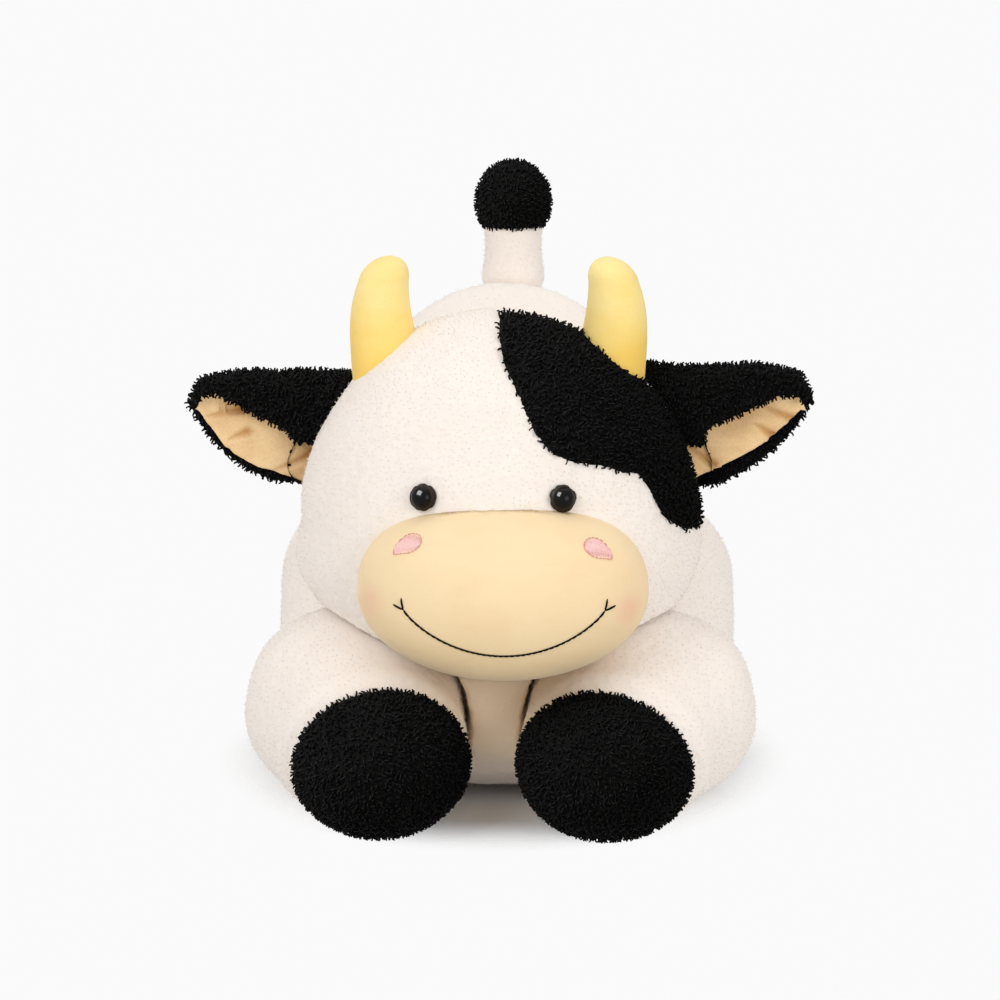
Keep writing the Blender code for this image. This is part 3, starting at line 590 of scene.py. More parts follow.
LEGS = {}
for label, side in SIDES:
    LEGS["front", label] = Leg((side * 0.0785, -0.0885, 0.048), (side * 0.0605, -0.1500, 0.0385),
                               (0.061, 0.0475), (0.061, 0.0415), (0.0485, 0.0390), 0.004)
    LEGS["hind", label] = Leg((side * 0.084, 0.083, 0.084), (side * 0.094, 0.015, 0.038),
                              (0.053, 0.040), (0.053, 0.040), (0.066, 0.0385), 0.003)


def leg_skins(pair, label):
    """The white cover with its filling, and the black hoof cup that closes it."""
    leg = LEGS[pair, label]
    inset = -0.0006
    line = leg.plumped(leg.outline(inset), 1.0)
    cover = [point for point in line if point[0] < leg.seam]
    last = cover[-1][1]
    stub = [(leg.seam, last), (leg.seam + 0.004, last - 0.004)]
    core = [(along, radius) for along, radius in leg.outline(-0.006) if along > leg.seam + 0.005]
    core = [point for point in core if point[1] < last - 0.004]
    cover_skin = turned(f"{pair}_leg_{label}", cover + stub + core, leg.root, leg.axis, 72, leg.settle)
    line = leg.plumped(leg.outline(inset), 0.2)
    outer = [point for point in line if point[0] > leg.seam + 0.0008]
    inner = [(along, radius) for along, radius in leg.outline(-0.0045) if along > leg.seam + 0.0008]
    cup = outer[::-1] + inner
    cup = [point for index, point in enumerate(cup) if not (point[1] == 0 and 0 < index < len(cup) - 1)]
    hoof_skin = turned(f"{pair}_hoof_{label}", cup, leg.root, leg.axis, 72, leg.settle)
    return cover_skin, hoof_skin


def on_head(points, reach):
    """Bring points that lie near the head's egg shape onto it."""
    half_width, half_depth, crown, chin = HEAD_SIZES
    away = points - np.array(HEAD_MIDDLE)
    tall = np.where(away[:, 2] > 0, crown, chin)
    scale = np.stack([np.full(len(points), half_width), np.full(len(points), half_depth), tall], 1)
    share = away / scale
    length = np.linalg.norm(share, axis=1)
    ball = np.array(HEAD_MIDDLE) + share / length[:, None] * scale
    gap = np.linalg.norm(points - ball, axis=1)
    hold = np.clip(2 - gap / reach, 0, 1)[:, None]
    return points + (ball - points) * hold


def shape_cheek(piece):
    """The right cheek is hollower below the ear than the left, and fuller lower down."""
    points = points_of(piece.data)
    share = np.clip(-points[:, 0] / HEAD_SIZES[0], 0, 1) ** 4
    hollow = 0.0024 * np.exp(-((points[:, 2] - 0.157) / 0.011) ** 2)
    full = 0.0015 * np.exp(-((points[:, 2] - 0.128) / 0.009) ** 2)
    points[:, 0] += share * (hollow - full)
    put_points(piece.data, points)


def fill_shoulder(piece, side):
    """The front legs are stuffed square at the shoulder, the left one more than the right."""
    points = points_of(piece.data)
    fuller, squarer_top = (0.0033, 0.0026) if side > 0 else (0.0006, 0.0016)
    outer = ramp(points[:, 0] * side, 0.098, 0.125) * ramp(points[:, 1], -0.128, -0.108)
    high = ramp(points[:, 2], 0.060, 0.085)
    points[:, 0] += side * outer * (fuller + squarer_top * high)
    points[:, 2] += 0.6 * squarer_top * outer * high
    put_points(piece.data, points)


def squarer(value, power):
    return math.copysign(abs(value) ** power, value)


def muzzle_skin(head_tree):
    """A crowned oval, squarer above than below, whose back lies just inside the face."""
    around, levels = 132, 44
    shape = bmesh.new()
    half_width, depth, half_height = MUZZLE_SIZES
    rings = []
    for level in range(levels + 1):
        tilt = math.pi * level / levels
        ring = []
        count = 1 if level in (0, levels) else around
        for step in range(count):
            turn = 2 * math.pi * step / around
            power = 2 / 2.4 if math.sin(turn) > 0 else 1
            wide = math.sin(tilt) * squarer(math.cos(turn), power)
            tall = math.sin(tilt) * squarer(math.sin(turn), power)
            point = MUZZLE_MIDDLE + Vector((half_width * wide, -depth * math.cos(tilt), half_height * tall))
            ring.append(shape.verts.new(point))
        rings.append(ring)
    bridge(shape, rings, around)
    for vert in shape.verts:
        place, normal, _, _ = head_tree.find_nearest(vert.co)
        if (vert.co - place).dot(normal) < -0.003:
            vert.co = place - normal * 0.003
    return skin_of("muzzle", shape)


def horn_skin(label, side):
    """A thumb of cloth that bows outwards, gathered a little at its root."""
    root = Vector((side * 0.0590, -0.070, 0.2200))
    base, end, bow, top = 0.0200, 0.0137, 0.0050, 0.3005
    around, rise = 40, 22

    def centre_at(height):
        share = (height - root.z) / (top - root.z)
        return Vector((root.x + side * bow * math.sin(math.pi * share ** 1.55), root.y, height))

    shape = bmesh.new()
    rings = []
    for step in range(rise + 1):
        share = step / rise
        radius = base + (end - base) * share ** 2
        rings.append((centre_at(root.z + (top - end - root.z) * share), radius))
    for step in range(1, 11):
        angle = math.pi / 2 * step / 10
        height = min(top - end + end * math.sin(angle), top)
        rings.append((centre_at(height), end * math.cos(angle) if step < 10 else 0))
    rows = [[shape.verts.new(root - Vector((0, 0, 0.004)))]]
    for centre, radius in rings:
        if radius == 0:
            rows.append([shape.verts.new(centre)])
            continue
        row = []
        for step in range(around):
            turn = 2 * math.pi * step / around
            fold = 1 + 0.016 * math.sin(5 * turn + side) * max(0, 1 - (centre.z - 0.226) / 0.030)
            out = Vector((math.cos(turn), math.sin(turn), 0)) * radius * fold
            row.append(shape.verts.new(centre + out))
        rows.append(row)
    bridge(shape, rows, around)
    return skin_of(f"horn_{label}", shape)


def tail_skins():
    """The white shaft, and the black tuft that closes it."""
    root = TAIL_ROOT + Vector((TAIL_ASIDE, 0, 0))
    upright = Vector((0, 0, 1))
    root_radius, shaft, tuft, tuft_tall = 0.0195, 0.0184, 0.0225, 0.0250
    tuft_middle = 0.333 - root.z - tuft_tall
    meet = math.asin(shaft / root_radius)
    flare = math.pi - math.asin(shaft / tuft)
    seam = tuft_middle + tuft_tall * math.cos(flare)
    inset = 0.0006
    line = arc(0, root_radius - inset, math.pi, meet, 12)
    start = line[-1][0]
    for step in range(1, 13):
        share = step / 12
        waist = 0.0008 * math.sin(math.pi * share)
        line.append((start + (seam - 0.0006 - start) * share, shaft - inset - waist))
    core = arc(tuft_middle, tuft - 0.006, flare, 0, 10, tuft_tall - 0.006)
    shaft_skin = turned("tail", line + core, root, upright, 44)
    outer = arc(tuft_middle, tuft - inset, flare, 0, 22, tuft_tall - inset)
    inner = arc(tuft_middle, tuft - 0.0045, flare, 0, 14, tuft_tall - 0.0045)
    cup = outer[::-1] + inner[:-1]
    cup.append((inner[-1][0], 0))
    tuft_skin = turned("tail_tuft", cup, root, upright, 44)
    return shaft_skin, tuft_skin


# Pile

def recipe(name, inputs):
    """A geometry tree with a mesh in and out, and the keys of its named inputs."""
    tree = bpy.data.node_groups.new(name, "GeometryNodeTree")
    tree.interface.new_socket("Geometry", in_out="INPUT", socket_type="NodeSocketGeometry")
    keys = {}
    for kind, labels in inputs:
        for label in labels:
            made = tree.interface.new_socket(label, in_out="INPUT", socket_type=f"NodeSocket{kind}")
            keys[label] = made.identifier
    tree.interface.new_socket("Geometry", in_out="OUTPUT", socket_type="NodeSocketGeometry")
    return tree, keys


def pile_recipe():
    """Tufts of bent yarn on a skin; the end comes down again on curls and stays up on tufts."""
    sizes = ("Spacing", "Height", "Reach", "End Height", "Yarn Radius", "End Share", "Lean", "Size Spread")
    tree, keys = recipe("pile", (("Float", sizes), ("Int", ("Seed", "Steps")), ("Material", ("Cloth",))))
    net = Network(tree)
    given = net.node("NodeGroupInput")
    size = {name: net.value(given, key) for name, key in keys.items()}

    cover = net.node("GeometryNodeInputNamedAttribute", {"data_type": "FLOAT"}, {"Name": "pile"})
    spread = net.node("GeometryNodeDistributePointsOnFaces", {"distribute_method": "POISSON"},
                      {"Mesh": given.outputs[0], "Distance Min": size["Spacing"],
                       "Density Max": 1.3 * size["Spacing"] ** -2.0,
                       "Density Factor": net.out(cover, "Attribute"), "Seed": size["Seed"]})

    def place(x, z):
        return net.out(net.node("ShaderNodeCombineXYZ", None, {"X": x, "Z": z}))

    yarn = net.node("GeometryNodeCurveQuadraticBezier", None,
                    {"Resolution": size["Steps"], "Start": place(0.0, size["Height"] * -0.35),
                     "Middle": place(size["Reach"] * 0.15, size["Height"] * 1.6),
                     "End": place(size["Reach"], size["End Height"])})
    along = net.value(net.node("GeometryNodeSplineParameter"), "Factor")
    kept = net.node("GeometryNodeStoreNamedAttribute", {"data_type": "FLOAT", "domain": "POINT"},
                    {"Geometry": net.out(yarn), "Name": "tip", "Value": along})
    taper = 1 - (1 - size["End Share"]) * along ** 2.0
    sized = net.node("GeometryNodeSetCurveRadius", None, {"Curve": net.out(kept), "Radius": taper})
    ring = net.node("GeometryNodeCurvePrimitiveCircle", None,
                    {"Resolution": 3, "Radius": size["Yarn Radius"]})
    radius = net.node("GeometryNodeInputRadius")
    tube = net.node("GeometryNodeCurveToMesh", None,
                    {"Curve": net.out(sized), "Profile Curve": net.out(ring), "Scale": net.out(radius),
                     "Fill Caps": True})
    tube = net.node("GeometryNodeSetShadeSmooth", None, {"Geometry": net.out(tube)})

    lean = size["Lean"]
    least = net.node("ShaderNodeCombineXYZ", None, {"X": lean * -1.0, "Y": lean * -1.0})
    most = net.node("ShaderNodeCombineXYZ", None, {"X": lean, "Y": lean, "Z": 2 * math.pi})
    bend = net.node("FunctionNodeRandomValue", {"data_type": "FLOAT_VECTOR"},
                    {"Min": net.out(least), "Max": net.out(most), "Seed": 11})
    turn = net.node("FunctionNodeEulerToRotation", None, {"Euler": net.out(bend)})
    stand = net.node("FunctionNodeRotateRotation", {"rotation_space": "LOCAL"},
                     {"Rotation": net.out(spread, "Rotation"), "Rotate By": net.out(turn)})
    scale = net.node("FunctionNodeRandomValue", {"data_type": "FLOAT"},
                     {"Min": 1 - size["Size Spread"], "Max": 1 + size["Size Spread"], "Seed": 23})
    tufts = net.node("GeometryNodeInstanceOnPoints", None,
                     {"Points": net.out(spread, "Points"), "Instance": net.out(tube),
                      "Rotation": net.out(stand), "Scale": net.out(scale, "Value")})
    shade = net.node("FunctionNodeRandomValue", {"data_type": "FLOAT"}, {"Seed": 37})
    toned = net.node("GeometryNodeStoreNamedAttribute", {"data_type": "FLOAT", "domain": "INSTANCE"},
                     {"Geometry": net.out(tufts), "Name": "tone", "Value": net.out(shade, "Value")})
    real = net.node("GeometryNodeRealizeInstances", None, {"Geometry": net.out(toned)})
    dressed = net.node("GeometryNodeSetMaterial", None,
                       {"Geometry": net.out(real), "Material": net.out(given, keys["Cloth"])})
    end = net.node("NodeGroupOutput")
    tree.links.new(net.out(dressed), end.inputs[0])
    return tree, keys


PILE_TREE, PILE_KEYS = pile_recipe()

WHITE_FUZZ = {"Spacing": 0.0022, "Height": 0.0007, "Reach": 0.0007, "End Height": 0.0010,
              "Yarn Radius": 0.00020, "End Share": 0.5, "Lean": 1.0, "Size Spread": 0.5, "Steps": 1}
BLACK_TUFTS = {"Spacing": 0.00150, "Height": 0.0016, "Reach": 0.0014, "End Height": 0.0021,
               "Yarn Radius": 0.00075, "End Share": 0.55, "Lean": 0.9, "Size Spread": 0.4, "Steps": 2}


def bare_where(piece, others, near, facing=None):
    """No pile where a neighbour covers the skin, or under the belly on the floor."""
    mesh = piece.data
    points = points_of(mesh)
    normals = normals_of(mesh)
    cover = np.ones(len(points))
    trees = [BVHTree.FromObject(other, bpy.context.evaluated_depsgraph_get()) for other in others]
    for index, (point, normal) in enumerate(zip(points, normals)):
        spot, out = Vector(point), Vector(normal)
        for tree in trees:
            if tree.find_nearest(spot, near)[0] is None:
                _, facing_out, _, _ = tree.ray_cast(spot, out)
                if facing_out is None or facing_out.dot(out) < 0:
                    continue
            cover[index] = 0
            break
    low = (points[:, 2] < 0.0022) & (normals[:, 2] < -0.5)
    cover[low] = 0
    if facing is not None:
        cover *= facing(points, normals)
    keep_value(mesh, "pile", cover)


def grow_pile(piece, sizes, cloth, seed, **changes):
    """Pile on a skin as one mesh with it."""
    tufts = linked(f"{piece.name}_pile", piece.data.copy())
    step = tufts.modifiers.new("pile", "NODES")
    step.node_group = PILE_TREE
    for name, value in {**sizes, **changes, "Seed": seed, "Cloth": cloth}.items():
        step[PILE_KEYS[name]] = value
    frozen(tufts)
    points = points_of(tufts.data)
    points[:, 2] = np.maximum(points[:, 2], 0.0002)
    put_points(tufts.data, points)
    with bpy.context.temp_override(active_object=piece, object=piece,
                                   selected_editable_objects=[piece, tufts],
                                   selected_objects=[piece, tufts]):
        bpy.ops.object.join()
    return piece


# Stitches

def stitch_recipe():
    """Each edge of a mesh becomes one stitch of thread, rounded at both ends."""
    tree, keys = recipe("stitches", (("Float", ("Thread Radius", "End Share")), ("Material", ("Thread",))))
    net = Network(tree)
    given = net.node("NodeGroupInput")
    lines = net.node("GeometryNodeMeshToCurve", None, {"Mesh": given.outputs[0]})
    along = net.value(net.node("GeometryNodeSplineParameter"), "Factor")
    middle = 1 - (along * 2.0 - 1).math("ABSOLUTE") ** 3.0
    thick = net.value(given, keys["End Share"]) + (1 - net.value(given, keys["End Share"])) * middle
    sized = net.node("GeometryNodeSetCurveRadius", None, {"Curve": net.out(lines), "Radius": thick})
    ring = net.node("GeometryNodeCurvePrimitiveCircle", None,
                    {"Resolution": 8, "Radius": net.value(given, keys["Thread Radius"])})
    tube = net.node("GeometryNodeCurveToMesh", None,
                    {"Curve": net.out(sized), "Profile Curve": net.out(ring),
                     "Scale": net.out(net.node("GeometryNodeInputRadius")), "Fill Caps": True})
    smooth = net.node("GeometryNodeSetShadeSmooth", None, {"Geometry": net.out(tube)})
    real = net.node("GeometryNodeRealizeInstances", None, {"Geometry": net.out(smooth)})
    dressed = net.node("GeometryNodeSetMaterial", None,
                       {"Geometry": net.out(real), "Material": net.out(given, keys["Thread"])})
    tree.links.new(net.out(dressed), net.node("NodeGroupOutput").inputs[0])
    return tree, keys


STITCH_TREE, STITCH_KEYS = stitch_recipe()


def sewn(name, lines, radius, end_share, material):
    """Stitches along lists of points, as one mesh."""
    points, edges = [], []
    for line in lines:
        start = len(points)
        points.extend(tuple(point) for point in line)
        edges.extend((start + index, start + index + 1) for index in range(len(line) - 1))
    mesh = bpy.data.meshes.new(name)
    mesh.from_pydata(points, edges, [])
    piece = linked(name, mesh)
    step = piece.modifiers.new("stitches", "NODES")
    step.node_group = STITCH_TREE
    step[STITCH_KEYS["Thread Radius"]] = radius
    step[STITCH_KEYS["End Share"]] = end_share
    step[STITCH_KEYS["Thread"]] = material
    return frozen(piece)


def from_front(tree, x, z):
    """The point of a cloth that is seen straight from the front, and the cloth's normal there."""
    return tree.ray_cast(Vector((x, -0.5, z)), Vector((0, 1, 0)))[:2]


def arched_stitch(tree, start, end, lift, steps=5):
    """One stitch that follows the cloth and dives into it at both ends."""
    line = []
    for step in range(steps + 1):
        share = step / steps
        place, normal, _, _ = tree.find_nearest(start.lerp(end, share))
        line.append(place + normal * lift * (1 - abs(2 * share - 1) ** 3 * 1.8))
    return line


def smile_line(share):
    """The smile as seen from the front: a shallow bow from corner to corner."""
    left, low, right = (-0.0453, 0.1308), (0.0068, 0.1079), (0.0591, 0.1306)
    x = left[0] + (right[0] - left[0]) * share
    bow = 1 - (2 * share - 1) ** 2
    bow = bow ** 0.86
    corner = left[1] + (right[1] - left[1]) * share
    return x, corner + (low[1] - corner) * bow


def face_stitching(tree):
    """Smile in backstitch with a Y at each corner, and satin nostrils."""
    black = thread("smile_thread", THREAD_BLACK, 0.8, 0.0, 0.05)
    count = 36
    lines = []
    for index in range(count):
        start, _ = from_front(tree, *smile_line(max(0, index - 0.12) / count))
        end, _ = from_front(tree, *smile_line(min(count, index + 1.12) / count))
        lines.append(arched_stitch(tree, start, end, 0.00035))
    for share, side in ((0, -1), (1, 1)):
        x, z = smile_line(share)
        start, _ = from_front(tree, x, z)
        for out, up in ((0.0012, 0.0062), (0.0056, 0.0020)):
            end, _ = from_front(tree, x + side * out, z + up)
            lines.append(arched_stitch(tree, start, end, 0.00035))
    smile = sewn("smile", lines, 0.00058, 0.55, black)

    pink = thread("nostril_thread", NOSTRIL_PINK, 0.4)
    edge = thread("nostril_edge_thread", NOSTRIL_EDGE, 0.45)
    nostrils = []
    for label, x, z, side in (("right", -0.0430, 0.1634, -1), ("left", 0.0547, 0.1619, 1)):
        middle, normal = from_front(tree, x, z)
        along = Vector((0, 0, 1)).cross(normal).normalized()
        up = normal.cross(along)

        def place(point, middle=middle, along=along, up=up):
            return middle + along * point[0] + up * point[1]

        outline = []
        for step in range(40):
            turn = 2 * math.pi * step / 40
            wide, tall = 0.0074 * math.cos(turn), 0.0063 * math.sin(turn)
            droop = 0.0046 * max(0, math.cos(turn) * side) ** 3
            tilt = math.radians(-16) * side
            across = wide * math.cos(tilt) - tall * math.sin(tilt)
            rise = wide * math.sin(tilt) + tall * math.cos(tilt) - droop
            outline.append((across, rise))
        fills = []
        rows = 30
        low = min(point[0] for point in outline)
        high = max(point[0] for point in outline)
        for row in range(rows):
            across = low + (high - low) * (row + 0.5) / rows
            heights = []
            for first, second in zip(outline, outline[1:] + outline[:1]):
                if (first[0] - across) * (second[0] - across) <= 0 and first[0] != second[0]:
                    share = (across - first[0]) / (second[0] - first[0])
                    heights.append(first[1] + (second[1] - first[1]) * share)
            if len(heights) >= 2 and max(heights) - min(heights) > 0.0012:
                wave = 0.0002 * math.sin(row * 2.3)
                fills.append(arched_stitch(tree, place((across + wave, min(heights))),
                                           place((across - wave, max(heights))), 0.0005))
        inside = sewn(f"nostril_{label}", fills, 0.00030, 0.6, pink)
        rim = []
        for index in range(0, 40, 2):
            rim.append(arched_stitch(tree, place(outline[index]), place(outline[(index + 2) % 40]),
                                     0.0005, 3))
        border = sewn(f"nostril_edge_{label}", rim, 0.00028, 0.7, edge)
        nostrils += [inside, border]
    return [smile] + nostrils


def eye_pieces(material):
    """A glossy dome in a brown flange, its shank, and the washer that holds it inside."""
    half_width, half_depth, crown, _ = HEAD_SIZES
    radius = EYE_RADIUS
    shank, washer = 0.00225, 0.0085
    made = []
    for label, side in SIDES:
        away = Vector((side * EYE_ASIDE, 0, EYE_HEIGHT)) - HEAD_MIDDLE
        reach = 1 - (away.x / half_width) ** 2 - (away.z / crown) ** 2
        ahead = -half_depth * math.sqrt(reach)
        seat = HEAD_MIDDLE + Vector((away.x, ahead, away.z))
        normal = Vector((away.x / half_width ** 2, ahead / half_depth ** 2, away.z / crown ** 2)).normalized()
        outline = [(-0.0140, 0), (-0.0140, shank), (-0.0064, shank), (-0.0064, washer),
                   (-0.0050, washer), (-0.0050, shank), (-0.0004, shank), (-0.0004, radius * 0.97),
                   (0.0004, radius), (0.0014, radius * 0.985), (0.0022, radius * 0.93)]
        outline += [(0.0030 + 0.0008 * math.sin(step * 0.9), radius * (0.90 - 0.055 * step))
                    for step in (1, 2)]
        dome_radius = radius * 0.80
        outline += [(0.0026 + 0.0046 * math.sin(angle), dome_radius * math.cos(angle))
                    for angle in [math.pi / 2 * step / 14 for step in range(14)]]
        outline.append((0.0072, 0))
        piece = turned(f"eye_{label}", outline, seat, normal, 48)
        relative = points_of(piece.data) - np.array(seat)
        height = relative @ np.array(normal)
        flat = relative - np.outer(height, np.array(normal))
        share = np.linalg.norm(flat, axis=1) / radius
        worn = [noise.noise(Vector(way) / radius * 2.6 + Vector((side * 5, 0, 0))) for way in flat]
        ragged = 0.20 * np.clip(worn, 0, 1) * (share > 0.88) * (height > -0.001)
        put_points(piece.data, points_of(piece.data) - flat * ragged[:, None])
        keep_value(piece.data, "ring", share)
        piece.data.materials.append(material)
        made.append((label, piece))
    return made


def from_root(points, side):
    """How far points lie out from the ear's root seam."""
    leaning = (points[:, 2] - EAR_SEAM_FOOT) * EAR_SEAM_RUN / EAR_SEAM_RISE
    return points[:, 0] * side - EAR_SEAM_OUT + leaning


def ramp(values, low, high):
    share = np.clip((values - low) / (high - low), 0, 1)
    return share * share * (3 - 2 * share)


def edge_along(points, side, kept, pick):
    """The highest or lowest kept point of each column out along the ear."""
    out = points[:, 0] * side
    columns, heights = [], []
    for column in np.arange(0.080, 0.182, 0.002):
        near = kept & (np.abs(out - column) < 0.002)
        if near.sum() > 3:
            columns.append(column)
            heights.append(pick(points[near, 2]))
    return np.interp(out, columns, heights)


def hem_to(points, side, chosen, kept, hem, hold):
    """Stretch the chosen cloth from the crease on top, so that its low edge lies on the hem."""
    top = edge_along(points, side, kept, np.max)
    low = edge_along(points, side, kept & chosen, np.min)
    wanted = np.interp(points[:, 0] * side, *zip(*hem))
    share = np.clip((top - points[:, 2]) / np.maximum(top - low, 0.004), 0, 1)
    points[:, 2] += np.where(chosen, (wanted - low) * share * hold, 0)


def settle_ear(piece, side, lining):
    """Hems as they are sewn, a root that lies flat, and a right ear that hangs lower than the left."""
    points = points_of(piece.data)
    points[:, 2] += side * EAR_SAG * ramp(points[:, 0] * side, 0.100, 0.130)
    out = from_root(points, side)
    front = points[:, 1] < EAR_DEPTH
    leaf = out > 0.012
    hold = ramp(out, 0.008, 0.016) * (1 - ramp(points[:, 0] * side, 0.172, 0.180))
    hem_to(points, side, front, leaf, FLAP_HEMS[side], hold)
    everywhere = np.ones(len(points), dtype=bool)
    top = edge_along(points, side, everywhere, np.max)
    low = edge_along(points, side, everywhere, np.min)
    upper = np.clip((points[:, 2] - low) / np.maximum(top - low, 0.004), 0, 1) ** 1.5
    inward = points[:, 0] * side
    points[:, 2] += upper * EAR_TOP_RISE[side] * np.clip(0.125 - inward, 0, 0.038)
    points[:, 0] -= side * upper * EAR_TOP_INWARD[side] * (1 - ramp(inward, 0.085, 0.118))
    if lining:
        hem_to(points, side, ~front, leaf, LINING_HEMS[side], hold)
        below_flap = 1 - ramp(points[:, 2], 0.196, 0.208)
        points[:, 1] -= LINING_FORWARD * (1 - ramp(out, 0.008, 0.024)) * below_flap
        points[:, 0] -= side * LINING_INWARD * (1 - ramp(out, 0.010, 0.042)) * below_flap
    else:
        rise, start, full = EAR_LOW_RISE[side]
        points[:, 2] += rise * (1 - upper) * ~front * ramp(inward, start, full)
        flat = front * (1 - ramp(points[:, 2], 0.192, 0.198)) * (1 - ramp(out, 0.012, 0.022))
        points[:, 1] += (EAR_DEPTH + ROOT_SET_BACK - points[:, 1]) * flat
    put_points(piece.data, points)


def wrinkle_lining(piece, side):
    """Soft folds across the lining, with a groove and a raised lip beside it, and painted shade along each
    fold.
    """
    mesh = piece.data
    points = points_of(mesh)
    normals = normals_of(mesh)
    drift = np.array([noise.noise(Vector(point) / 0.012 + Vector((side, 2, 0))) for point in points])
    seen = np.stack([points[:, 0] * side, points[:, 2]], 1)
    lift = drift * 0.0007
    shade = np.zeros(len(points))
    for first, last in LINING_FOLDS[side]:
        first, last = np.array(first), np.array(last)
        run = last - first
        share = np.clip((seen - first) @ run / (run @ run), 0, 1)
        away = seen - first - share[:, None] * run
        gap = np.linalg.norm(away, axis=1)
        above = np.where(away[:, 1] > 0, 1, -1) * gap
        deep = 0.35 + 0.65 * share
        lift += deep * (0.0012 * np.exp(-((above + 0.0032) / 0.0022) ** 2)
                        - 0.0016 * np.exp(-(gap / (0.0008 + 0.0012 * share)) ** 2))
        # Painted shade along each fold, kept for the lining's finish.
        shade = np.maximum(shade, deep * np.exp(-((above - 0.0006) / (0.0010 + 0.0022 * share)) ** 2))
    front = np.clip(-normals[:, 1], 0, 1)
    put_points(mesh, points + normals * (lift * front)[:, None])
    keep_value(mesh, "crease", shade)


# Stage

def build_stage():
    floor = turned("floor", [(0, 0), (0, 0.2), (0, 0.5), (0, 0.9), (0, 1.6), (0, 3.0)],
                   Vector((0, 0.1, 0)), Vector((0, 0, 1)), 64)
    for polygon in floor.data.polygons:
        if polygon.normal.z < 0:
            polygon.flip()
    finish = Finish("floor_paint", Roughness=0.9, Specular_IOR_Level=0.1)
    grain = finish.mottle(60, 3)
    finish.colour(finish.mix(grain * 0.04, FLOOR_WHITE, tuple(c * 0.97 for c in FLOOR_WHITE)))
    fade = 1 - finish.distance((0, 0, 0), (1 / 0.185, 1 / 0.205, 1)).between(0.62, 0.92)
    finish.fill(finish.surface.inputs["Alpha"], fade)
    floor.data.materials.append(finish.material)

    world = bpy.data.worlds.new("studio")
    bpy.context.scene.world = world
    world.use_nodes = True
    net = Network(world.node_tree)
    net.tree.nodes.clear()
    rays = net.node("ShaderNodeLightPath")
    seen = net.value(rays, "Is Camera Ray").math("MAXIMUM", net.value(rays, "Is Glossy Ray"))
    seen = seen.math("MAXIMUM", net.value(rays, "Is Transmission Ray"))
    plain = net.node("ShaderNodeBackground", None, {"Color": (1, 1, 1, 1), "Strength": BACKDROP})
    glow = net.node("ShaderNodeBackground", None, {"Color": (1.0, 0.99, 0.975, 1), "Strength": 0.70})
    both = net.node("ShaderNodeMixShader")
    net.fill(both.inputs[0], seen)
    net.fill(both.inputs[1], net.out(glow))
    net.fill(both.inputs[2], net.out(plain))
    end = net.node("ShaderNodeOutputWorld")
    net.tree.links.new(both.outputs[0], end.inputs["Surface"])

    for name, place, size, power in (("key", (-1.0, -1.5, 1.3), 0.9, 9.8),
                                     ("fill", (1.1, -1.5, 0.5), 0.9, 7.6),
                                     ("top", (0.1, 0.3, 1.9), 1.4, 4.5),
                                     ("window", (-0.80, -0.85, 1.30), 1.00, 110.0)):
        light = bpy.data.lights.new(name, "AREA")
        light.shape = "SQUARE"
        light.size = size
        light.energy = power
        lamp = bpy.data.objects.new(name, light)
        lamp.location = place
        lamp.visible_diffuse = name != "window"
        aim = Vector((0, -0.05, 0.15)) - Vector(place)
        lamp.rotation_euler = aim.to_track_quat("-Z", "Y").to_euler()
        bpy.context.scene.collection.objects.link(lamp)

    target = Vector((0, -0.045, 0.16))
    turn, lift, distance = math.radians(2), math.radians(12), 1.70
    out = Vector((math.sin(turn) * math.cos(lift), -math.cos(turn) * math.cos(lift), math.sin(lift)))
    camera = bpy.data.cameras.new("camera")
    camera.lens = 109.3
    camera.sensor_width = 36
    viewer = bpy.data.objects.new("camera", camera)
    viewer.location = target + out * distance
    viewer.rotation_euler = (-out).to_track_quat("-Z", "Y").to_euler()
    bpy.context.scene.collection.objects.link(viewer)
    bpy.context.scene.camera = viewer
    bpy.context.scene.view_settings.view_transform = "Standard"


def dressed(piece, body, slot, nodes, fill=None):
    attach(piece, body)
    if nodes:
        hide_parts(*nodes)


